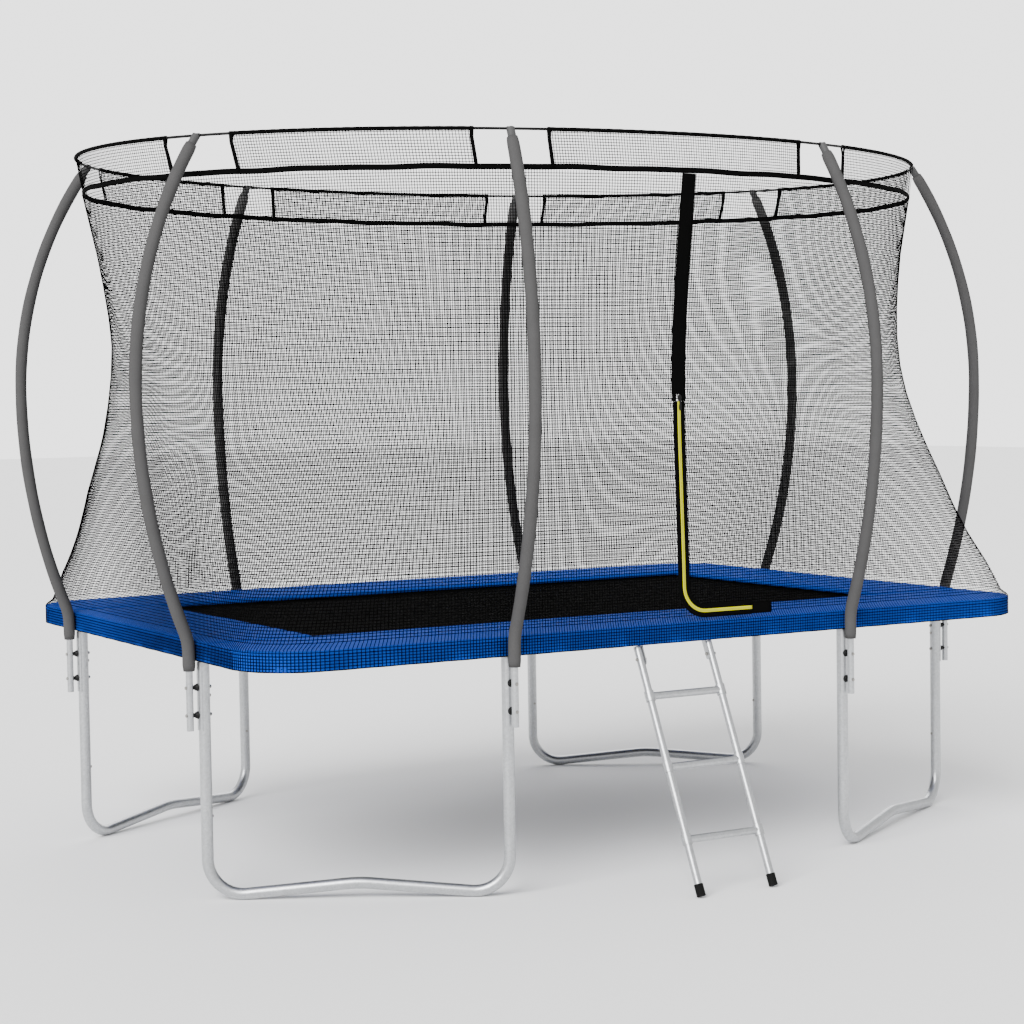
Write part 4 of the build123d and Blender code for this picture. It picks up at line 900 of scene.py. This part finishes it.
# ---------------------------------------------------------------- mat and springs
def spring_spots(places):
    """Points on the mat's edge where V-rings sit, with their outward directions."""
    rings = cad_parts["mat_v_rings"]
    points = np.array([tuple(v.co) for v in rings.data.vertices])
    reach = 0.0005
    spots = []
    for axis, other in ((1, 0), (0, 1)):
        half = places.mat_half[axis]
        for side in (-1, 1):
            near = points[(points[:, axis] * side > half) & (points[:, axis] * side < half + 0.0012)
                          & (np.abs(points[:, other]) < places.mat_half[other] - reach)]
            values = np.sort(np.unique(np.round(near[:, other], 4)))
            groups = np.split(values, np.flatnonzero(np.diff(values) > 0.04) + 1)
            for group in groups:
                point, out = np.zeros(3), np.zeros(3)
                point[axis], point[other] = half * side, (group[0] + group[-1]) / 2
                out[axis] = side
                spots.append((point, out))
    return spots


class TRAMPOLINE_OT_mat(Operator):
    """Woven mat with its hem, V-ring loops and springs"""

    bl_idname = "trampoline.mat"
    bl_label = "Mat and springs"

    def execute(self, context):
        places = Places()
        spots = spring_spots(places)
        self.make_cloth(places)
        self.make_hem(places, spots)
        self.make_rings(places, spots)
        self.make_springs(places, spots)
        return {"FINISHED"}

    def height(self, places, x, y):
        """Height of the mat's upper face, slightly lower in the middle."""
        a, b = places.mat_half
        share = np.clip(1 - (x / a) ** 2, 0, 1) * np.clip(1 - (y / b) ** 2, 0, 1)
        return places.mat_top - sizes().mat_sag * share

    def make_cloth(self, places):
        a, b = [h - 0.002 for h in places.mat_half]
        x, y = np.meshgrid(np.linspace(-a, a, 58), np.linspace(-b, b, 40), indexing="ij")
        ripple = 0.0006 * np.sin(9 * x + 2 * y) * np.cos(7 * y)
        top = np.stack([x, y, self.height(places, x, y) + ripple], -1)
        build = Build()
        uv = np.stack([x, y], -1)
        build.grid(top, uv)
        build.grid((top - UP * 0.0016)[::-1], uv[::-1])
        cloth_piece = finish_piece(build.make("mat_cloth", "mat_black"), "mat", "jumping_mat")
        lines = Build()
        for share in (0.86, 0.855):
            square = share * np.array([(a, b), (-a, b), (-a, -b), (a, -b)])
            path = resampled(np.column_stack([square, np.zeros(4)]), 0.02, close=True)
            path[:, 2] = self.height(places, path[:, 0], path[:, 1]) + 0.0002
            stitches(lines, path, UP, close=True)
        seam = finish_piece(lines.make("mat_stitches", "net_black"), "mat")

    def make_hem(self, places, spots):
        """Webbing stitched round the edge, with a folded loop at each V-ring."""
        a, b = places.mat_half
        hem, threads, loops = Build(), Build(), Build()
        wide = 0.04
        thick = 0.0042
        for axis, run, across in ((0, a, b), (1, b, a)):
            for side in (-1, 1):
                count = 90 if axis == 0 else 60
                along = np.linspace(-run, run, count)
                path = np.zeros((count, 3))
                path[:, axis] = along
                path[:, 1 - axis] = side * (across - wide / 2)
                path[:, 2] = places.mat_top - 0.001 + 0.0002 * side * axis
                path[:, 2] += 0.0004 * np.sin(along * 37)
                hem.sweep(path, strip_section(wide, thick, 6), UP)
                for inset in (0.004, 0.019, 0.036):
                    row = path.copy()
                    row[:, 1 - axis] = side * (across - inset)
                    row[:, 2] += thick * 0.5
                    stitches(threads, row, UP)
        for point, out in spots:
            self.make_loop(places, loops, threads, point, out)
        edge = finish_piece(hem.make("mat_webbing", "webbing_black"), "mat", "mat_hem")
        seam = finish_piece(threads.make("mat_webbing_stitches", "webbing_black"), "mat")
        finish_piece(loops.make("mat_loops", "webbing_black"), "mat")

    def make_loop(self, places, loops, threads, point, out):
        """Webbing loop round the straight side of a V-ring."""
        level = places.mat_top - 0.001
        profile = ((-0.036, 0.0030), (-0.010, 0.0032), (-0.002, 0.0036), (0.003, 0.0030), (0.0052, 0.0),
                   (0.003, -0.0030), (-0.002, -0.0036), (-0.030, -0.0030))
        path = [point + out * reach + UP * (level + lift) for reach, lift in profile]
        across = np.cross(UP, out)
        loops.sweep(path, strip_section(0.0012, 0.021), across)
        for reach in (-0.033, -0.014):
            row = [point + out * reach + UP * (level + 0.0038) + across * shift for shift in (-0.008, 0.008)]
            stitches(threads, row, UP, 0.004)

    def make_rings(self, places, spots):
        """Bent wire triangles, one under each loop."""
        build = Build()
        level = places.mat_top - 0.001
        half, tip, wire = 0.0145, 0.0295, 0.0019
        corners = ((0.0022, -half, 0.0035), (0.0022, half, 0.0035), (tip, 0.0, 0.0028))
        outline = []
        for index, (reach, side, radius) in enumerate(corners):
            before, after = corners[index - 1], corners[(index + 1) % 3]
            here = np.array((reach, side))
            to_before = unit(np.array(before[:2]) - here)
            to_after = unit(np.array(after[:2]) - here)
            for share in np.linspace(0, 1, 5):
                outline.append(here + radius * ((1 - share) ** 2 * to_before + share ** 2 * to_after))
        outline = np.array(outline)
        for point, out in spots:
            across = np.cross(UP, out)
            path = point + outline[:, :1] * out + outline[:, 1:] * across + UP * level
            build.sweep(path, circle(wire, 6), UP, close=True)
        return finish_piece(build.make("v_rings", "spring_steel"), "mat", "mat_v_rings")

    def make_springs(self, places, spots):
        """Coil springs with hooked ends, in four groups, one for each side of the mat."""
        low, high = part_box("springs")
        level = places.mat_top - 0.001
        coil_level = (low.z + high.z) / 2
        radius = (high.z - low.z) / 2 - sizes().spring_wire
        turns = sizes().spring_turns
        for axis, side, word in ((1, -1, "front"), (1, 1, "back"), (0, -1, "left"), (0, 1, "right")):
            build = Build()
            inner = places.mat_half[axis]
            outer = (high.y if axis == 1 else high.x)
            for point, out in spots:
                if out[axis] != side:
                    continue
                across = np.cross(UP, out)
                start = point * (1 - np.abs(out)) + out * (inner + 0.0265)
                run = outer - inner - 0.0265 - 0.001
                coil_start, coil_end = 0.024, run - 0.026
                turn = np.linspace(0, turns * 2 * math.pi, turns * 8 + 1)
                reach = np.linspace(coil_start, coil_end, len(turn))
                coil = (start + reach[:, None] * out + (radius * np.sin(turn))[:, None] * across
                        + UP * (coil_level + radius * np.cos(turn))[:, None])
                hook_in = [start + out * r + UP * h for r, h in
                           ((0.006, level - 0.0035), (0.0005, level - 0.003), (-0.0005, level + 0.002),
                            (0.004, level + 0.005), (0.012, level + 0.004), (0.019, coil_level + radius * 0.9))]
                hook_out = [start + out * r + UP * h for r, h in
                            ((coil_end + 0.005, coil_level + radius * 0.9), (run - 0.012, level + 0.003),
                             (run, level - 0.004), (run - 0.002, level - 0.008))]
                build.sweep(np.concatenate([hook_in, coil, hook_out]), circle(sizes().spring_wire, 4), out + 0.01 * UP)
            group = finish_piece(build.make("springs_" + word, "spring_steel"), None, "springs")
            near, far = np.zeros(3), np.zeros(3)
            near[axis], far[axis] = side * outer, side * (inner + 0.0265)
            near[2] = far[2] = level
            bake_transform(group)


# ---------------------------------------------------------------- pad
def pad_outer(places, run, axis):
    """Distance of the pad's outer edge from the middle, with rounded corners."""
    radius = sizes().pad_corner
    past = np.clip(np.abs(run) - (places.pad_half[axis] - radius), 0, radius)
    return places.pad_half[1 - axis] - radius + np.sqrt(np.maximum(radius ** 2 - past ** 2, 0))


class TRAMPOLINE_OT_pad(Operator):
    """Padding over the springs, with its skirt"""

    bl_idname = "trampoline.pad"
    bl_label = "Safety pad"

    def execute(self, context):
        places = Places()
        a, b = places.pad_half
        oa, ob = places.opening_half
        for side, word in ((-1, "front"), (1, "back")):
            self.make_panel(places, word, 0, side, a, ob)
            self.make_skirt(places, word, 0, side)
        for side, word in ((-1, "left"), (1, "right")):
            self.make_panel(places, word, 1, side, ob - 0.001, oa)
            self.make_skirt(places, word, 1, side)
        self.make_flap(places)
        return {"FINISHED"}

    def lay(self, axis, side, run, across, height):
        """Row frame points from run along the side, distance across and height."""
        pair = (run, side * across) if axis == 0 else (side * across, run)
        return np.stack(np.broadcast_arrays(pair[0], pair[1], height), -1)

    def make_panel(self, places, word, axis, side, run_half, inner):
        """Crowned panel: sewn edges, soft top, flat underside."""
        columns = 120 if axis == 0 else 60
        turn = np.linspace(-1, 1, columns)
        run = run_half * np.sin(turn * math.pi / 2) if axis == 0 else run_half * turn
        if axis == 0:
            outer = pad_outer(places, run, 0)
        else:
            outer = np.full(columns, places.pad_half[0])
        shares = np.array((0, 0.004, 0.014, 0.03, 0.06, 0.12, 0.2, 0.3, 0.4, 0.5,
                           0.6, 0.7, 0.8, 0.88, 0.94, 0.97, 0.986, 0.996, 1))
        across = inner + (outer - inner)[:, None] * shares
        depth = places.pad_top - places.pad_underside
        to_edge = np.minimum(across - inner, outer[:, None] - across)
        to_end = (run_half - np.abs(run))[:, None]
        edge = np.minimum(to_edge, np.maximum(to_end, 0))
        round_share = np.sqrt(1 - (1 - np.clip(edge / 0.012, 0, 1)) ** 2)
        crown = 0.0028 * np.clip(edge / 0.11, 0, 1) ** 0.6
        wide_run = run[:, None]
        swell = (0.0012 * np.sin(wide_run * 5.3 + side) * np.sin(across * 21)
                 + 0.0009 * np.sin(wide_run * 13 + across * 9))
        soft = np.clip(edge / 0.06, 0, 1)
        height = places.pad_underside + depth * (0.30 + 0.60 * round_share) + crown + swell * soft - 0.0005
        build = Build()
        top = self.lay(axis, side, wide_run, across, height)
        uv = np.stack(np.broadcast_arrays(wide_run, across), -1)
        bottom = self.lay(axis, side, wide_run, across, np.full_like(height, places.pad_underside))
        loop = np.concatenate([top, bottom[:, ::-1]], axis=1)
        loop_uv = np.concatenate([uv, uv[:, ::-1]], axis=1)
        if side * (1 if axis == 0 else -1) < 0:
            loop, loop_uv = loop[::-1], loop_uv[::-1]
        build.grid(loop, loop_uv, wrap=True)
        size = loop.shape[1]
        build.faces.append(list(range(size - 1, -1, -1)))
        build.faces.append(list(range(build.count - size, build.count)))
        panel = finish_piece(build.make("pad_cover_" + word, "pad_blue"), "frame", "pad_" + word)
        threads = Build()
        for inset in (0.010,):
            row = self.lay(axis, side, run[2:-2], np.full(columns - 4, inner + inset), height[2:-2, 2] + 0.0012)
            stitches(threads, row, UP)
        row = self.lay(axis, side, run[2:-2], outer[2:-2] - 0.012, height[2:-2, -4] + 0.0012)
        stitches(threads, row, UP)
        finish_piece(threads.make("pad_stitches_" + word, "pad_blue"), "frame")
        self.make_piping(places, word, axis, side, run, inner, outer)

    def make_piping(self, places, word, axis, side, run, inner, outer):
        """Bound seams along the inner and outer edges."""
        build = Build()
        level = places.pad_underside + 0.0055
        reference = UP
        build.sweep(self.lay(axis, side, run, np.full(len(run), inner + 0.001), np.full(len(run), level)),
                    circle(0.0022, 8), reference)
        build.sweep(self.lay(axis, side, run, outer - 0.0012, np.full(len(run), level + 0.003)),
                    circle(0.0024, 8), reference)
        return finish_piece(build.make("pad_piping_" + word, "pad_blue"), "frame")

    def make_skirt(self, places, word, axis, side):
        """Hanging edge of the cover with a sewn hem."""
        flap_low, flap_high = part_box("skirt_flap")
        if axis == 0:
            turn = np.linspace(-1, 1, 160)
            run = places.pad_half[0] * np.sin(turn * math.pi / 2) * 0.9999
            outer = pad_outer(places, run, 0)
            pieces = [(run, outer)]
            if side < 0:
                left = run < flap_low.x - 0.0004
                right = run > flap_high.x + 0.0004
                first = np.append(run[left], flap_low.x - 0.0004)
                second = np.insert(run[right], 0, flap_high.x + 0.0004)
                pieces = [(first, pad_outer(places, first, 0)), (second, pad_outer(places, second, 0))]
        else:
            reach = places.pad_half[1] - sizes().pad_corner
            pieces = [(np.linspace(-reach, reach, 60), np.full(60, places.pad_half[0]))]
        build, threads = Build(), Build()
        area = 0.0
        for run, outer in pieces:
            area += self.add_skirt(places, build, threads, axis, side, run, outer)
        cloth_piece = finish_piece(build.make("skirt_" + word, "pad_blue"), "frame")
        seam = finish_piece(threads.make("skirt_stitches_" + word, "pad_blue"), "frame")

    def add_skirt(self, places, build, threads, axis, side, run, outer):
        """One stretch of skirt: two layers, a thicker hem and slight waves."""
        base = self.lay(axis, side, run, outer - 0.0018, 0.0)
        along = np.concatenate(([0], np.cumsum(np.linalg.norm(np.diff(base, axis=0), axis=1))))
        outward = unit(np.cross(np.gradient(base, axis=0), UP)) * side * (1 if axis == 0 else -1)
        levels = np.array((0, 0.06, 0.2, 0.4, 0.7, 1.0))
        top = places.pad_underside + 0.003
        heights = places.skirt_bottom + levels * (top - places.skirt_bottom)
        wave = (0.0013 * np.sin(along * 19) + 0.0009 * np.sin(along * 47 + 1))[:, None] * (1 - levels)
        thick = np.array((0.0011, 0.0012, 0.0012, 0.0006, 0.0006, 0.0006))
        out = base[:, None] + outward[:, None] * (wave + thick)[..., None] + UP * heights[:, None]
        inn = base[:, None] + outward[:, None] * (wave - thick)[..., None] + UP * heights[:, None]
        loop = np.concatenate([out, inn[:, ::-1]], axis=1)
        around = np.concatenate([heights, heights[::-1]])
        uv = np.stack(np.broadcast_arrays(along[:, None], around), -1)
        build.grid(loop, uv, wrap=True)
        row = out[:, 2] + outward * 0.0002 + UP * 0.001
        lift = unit(resampled(row, sizes().stitch)[:-1] * (1, 1, 0))
        stitches(threads, row, lift)
        return along[-1] * (places.pad_underside - places.skirt_bottom)

    def make_flap(self, places):
        """Short piece of skirt in front of the ladder's hooks."""
        low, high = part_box("skirt_flap")
        run = np.linspace(low.x, high.x, 24)
        build, threads = Build(), Build()
        area = self.add_skirt(places, build, threads, 0, -1, run, np.full(24, places.pad_half[1]))
        flap = finish_piece(build.make("skirt_flap_cloth", "pad_blue"), None, "skirt_flap")
        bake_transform(flap)
        seam = threads.make("skirt_flap_stitches", "pad_blue")
        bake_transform(seam)


# ---------------------------------------------------------------- poles
class TRAMPOLINE_OT_sleeves(Operator):
    """Foam sleeves on the eight poles"""

    bl_idname = "trampoline.sleeves"
    bl_label = "Foam sleeves"

    def execute(self, context):
        places = Places()
        for name, foot, out, angle in places.legs():
            node = "foam_sleeve_" + name
            self.make_sleeve(places, node, foot, out, angle)
        return {"FINISHED"}

    def centre_line(self, places, node, foot, out, angle):
        """Lower arc away from the leg, then upper arc in to the ring."""
        s = sizes()
        lean = 2 * math.atan((s.bow_reach - s.pole_offset) / (s.bow_height - s.kink_height))
        low_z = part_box(node)[0].z
        points = [(s.pole_offset, low_z + 0.0001)]
        for turn in np.linspace(0, lean, 6):
            points.append((s.pole_offset + s.kink_radius * (1 - math.cos(turn)),
                           s.kink_height + s.kink_radius * math.sin(turn)))
        radius = (s.bow_height - s.kink_height) / math.sin(lean) - s.kink_radius
        for turn in np.linspace(lean, 0, 26)[1:]:
            points.append((s.bow_reach - radius * (1 - math.cos(turn)), s.bow_height - radius * math.sin(turn)))
        path = [foot + out * reach + UP * height for reach, height in points]
        bow = path[-1]
        tip = ellipse_point(places.ring_half, places.ring_height, np.array(angle))
        inward = (tip - bow) * (1, 1, 0)
        reach, rise = np.linalg.norm(inward), tip[2] - bow[2]
        turn_all = 2 * math.atan(reach / rise)
        arc = rise / math.sin(turn_all)
        top = turn_all - 0.0404 / arc
        for turn in np.linspace(0, top, 28)[1:]:
            path.append(bow + unit(inward) * arc * (1 - math.cos(turn)) + UP * arc * math.sin(turn))
        return resampled(path, 0.022)

    def make_sleeve(self, places, node, foot, out, angle):
        line = self.centre_line(places, node, foot, out, angle)
        sides = 20
        bow = sizes().sleeve_radius
        build = Build()
        seed = abs(hash_name(node))
        along = np.concatenate(([0], np.cumsum(np.linalg.norm(np.diff(line, axis=0), axis=1))))
        swell = 1 + 0.018 * np.sin(along * 11 + seed) + 0.012 * np.sin(along * 29 + 2 * seed)
        swell[0], swell[-1] = 0.90, 0.90
        around = circle(1.0, sides)
        section = around[None] * (bow * swell)[:, None, None]
        square = np.cross(out, UP)
        build.sweep(line, section, square, caps=False)
        inner = circle(bow * 0.58, sides)
        build.sweep(line[::-1], np.broadcast_to(inner, (len(line), sides, 2)), square, caps=False)
        total = len(line) * sides
        turn = np.arange(sides)
        mirror = (sides // 2 - 1 - turn) % sides
        for near, far in ((0, total + (len(line) - 1) * sides), ((len(line) - 1) * sides, total)):
            for k in range(sides):
                quad = [near + k, near + (k + 1) % sides, far + mirror[(k + 1) % sides], far + mirror[k]]
                build.faces.append([int(q) for q in (quad[::-1] if near == 0 else quad)])
        sleeve = finish_piece(build.make(node.replace("foam_sleeve", "sleeve"), "foam"), "frame", node)


def hash_name(name):
    """Small fixed number from a name."""
    return sum(ord(letter) * (index + 1) for index, letter in enumerate(name)) % 17


# ---------------------------------------------------------------- finishes of the CAD parts
FINISHES = {
    "galvanised": ("frame_corner", "frame_rail", "tee_sockets", "leg_uprights", "leg_base", "leg_saddles", "pole_lowers",
                   "pole_uppers", "ladder_rails", "ladder_rungs", "ladder_hooks"),
    "bolt_steel": ("frame_screws", "clamp_bolts", "clamp_nuts", "ladder_bolts"),
    "cap_grey": ("pole_caps",),
    "black_plastic": ("clamp_spacers",),
    "ring_black": ("ring_rods", "ring_ferrules"),
    "rubber_black": ("ladder_feet",),
}


class TRAMPOLINE_OT_finishes(Operator):
    """Finishes of the metal, plastic and rubber parts"""

    bl_idname = "trampoline.finishes"
    bl_label = "Finishes"

    def execute(self, context):
        for slot, starts in FINISHES.items():
            for name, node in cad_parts.items():
                if name.startswith(starts):
                    node.data.materials.clear()
                    node.data.materials.append(material(slot))
                    self.soften(node)
        return {"FINISHED"}

    def soften(self, node):
        """Smooth shading, split at edges sharper than 32 degrees."""
        node.data.polygons.foreach_set("use_smooth", [True] * len(node.data.polygons))
        with bpy.context.temp_override(object=node, active_object=node, selected_objects=[node],
                                       selected_editable_objects=[node]):
            bpy.ops.object.shade_smooth_by_angle(angle=math.radians(32))


# ---------------------------------------------------------------- stage
class TRAMPOLINE_OT_stage(Operator):
    """Pale floor, soft studio light and the camera"""

    bl_idname = "trampoline.stage"
    bl_label = "Stage"

    def execute(self, context):
        self.make_floor()
        self.make_lights()
        self.make_camera()
        return {"FINISHED"}

    def make_floor(self):
        mesh = bpy.data.meshes.new("floor")
        mesh.from_pydata([(-40, -40, 0), (40, -40, 0), (40, 60, 0), (-40, 60, 0)], [], [(0, 1, 2, 3)])
        shader = Shader("Floor", (0.86, 0.86, 0.86), 0.9, 0.0, 0.1)
        mesh.materials.append(shader.material)
        floor = bpy.data.objects.new("floor", mesh)
        bpy.context.scene.collection.objects.link(floor)

    def make_lights(self):
        """Pale surroundings, one broad light from the front left and a soft one behind."""
        world = bpy.data.worlds.new("Studio")
        bpy.context.scene.world = world
        world.use_nodes = True
        background = world.node_tree.nodes["Background"]
        background.inputs[0].default_value = (1.0, 1.0, 1.0, 1.0)
        rays = world.node_tree.nodes.new("ShaderNodeLightPath")
        strength = world.node_tree.nodes.new("ShaderNodeMapRange")
        strength.inputs["To Min"].default_value = 1.1
        strength.inputs["To Max"].default_value = 2.6
        world.node_tree.links.new(rays.outputs["Is Camera Ray"], strength.inputs["Value"])
        world.node_tree.links.new(strength.outputs["Result"], background.inputs[1])
        for name, spot, spread, power in (("key", (-6.5, -4.0, 6.5), 40, 5.8), ("back", (3.5, 6.0, 5.0), 45, 1.2)):
            light = bpy.data.lights.new(name, "SUN")
            light.energy = power
            light.angle = math.radians(spread)
            lamp = bpy.data.objects.new(name, light)
            lamp.location = spot
            lamp.rotation_euler = (Vector((0, 0, 1)) - Vector(spot)).to_track_quat("-Z", "Y").to_euler()
            bpy.context.scene.collection.objects.link(lamp)

    def make_camera(self):
        lens = bpy.data.cameras.new("camera")
        lens.sensor_width = 36.0
        lens.lens = 78.99
        lens.shift_x = 0.0005
        lens.shift_y = -0.0130
        lens.clip_end = 200.0
        camera = bpy.data.objects.new("camera", lens)
        camera.location = (-4.604, -8.0077, 1.7677)
        turn = Euler((math.radians(90 - 2.674), 0, math.radians(-29.714)), "XYZ").to_quaternion()
        camera.rotation_mode = "QUATERNION"
        camera.rotation_quaternion = turn @ Quaternion((0, 0, 1), math.radians(-0.933))
        bpy.context.scene.collection.objects.link(camera)
        bpy.context.scene.camera = camera


# ---------------------------------------------------------------- panel and run
class TRAMPOLINE_PT_looks(Panel):
    bl_label = "Trampoline"
    bl_space_type = "VIEW_3D"
    bl_region_type = "UI"
    bl_category = "Trampoline"

    def draw(self, context):
        for group in (context.scene.trampoline_sizes, context.scene.trampoline_colours):
            column = self.layout.column()
            for key in group.__annotations__:
                column.prop(group, key)
        for operator in OPERATORS:
            self.layout.operator(operator.bl_idname)


OPERATORS = (
    TRAMPOLINE_OT_finishes,
    TRAMPOLINE_OT_sleeves,
    TRAMPOLINE_OT_net,
    TRAMPOLINE_OT_net_edges,
    TRAMPOLINE_OT_mat,
    TRAMPOLINE_OT_pad,
    TRAMPOLINE_OT_stage,
)
CLASSES = (TrampolineSizes, TrampolineColours, *OPERATORS, TRAMPOLINE_PT_looks)


def register():
    for one in CLASSES:
        bpy.utils.register_class(one)
    bpy.types.Scene.trampoline_sizes = PointerProperty(type=TrampolineSizes)
    bpy.types.Scene.trampoline_colours = PointerProperty(type=TrampolineColours)


def unregister():
    del bpy.types.Scene.trampoline_colours
    del bpy.types.Scene.trampoline_sizes
    for one in reversed(CLASSES):
        bpy.utils.unregister_class(one)


def main():
    register()
    for operator in OPERATORS:
        name = operator.bl_idname.split(".")[1]
        getattr(bpy.ops.trampoline, name)()


if __name__ == "__main__":
    main()
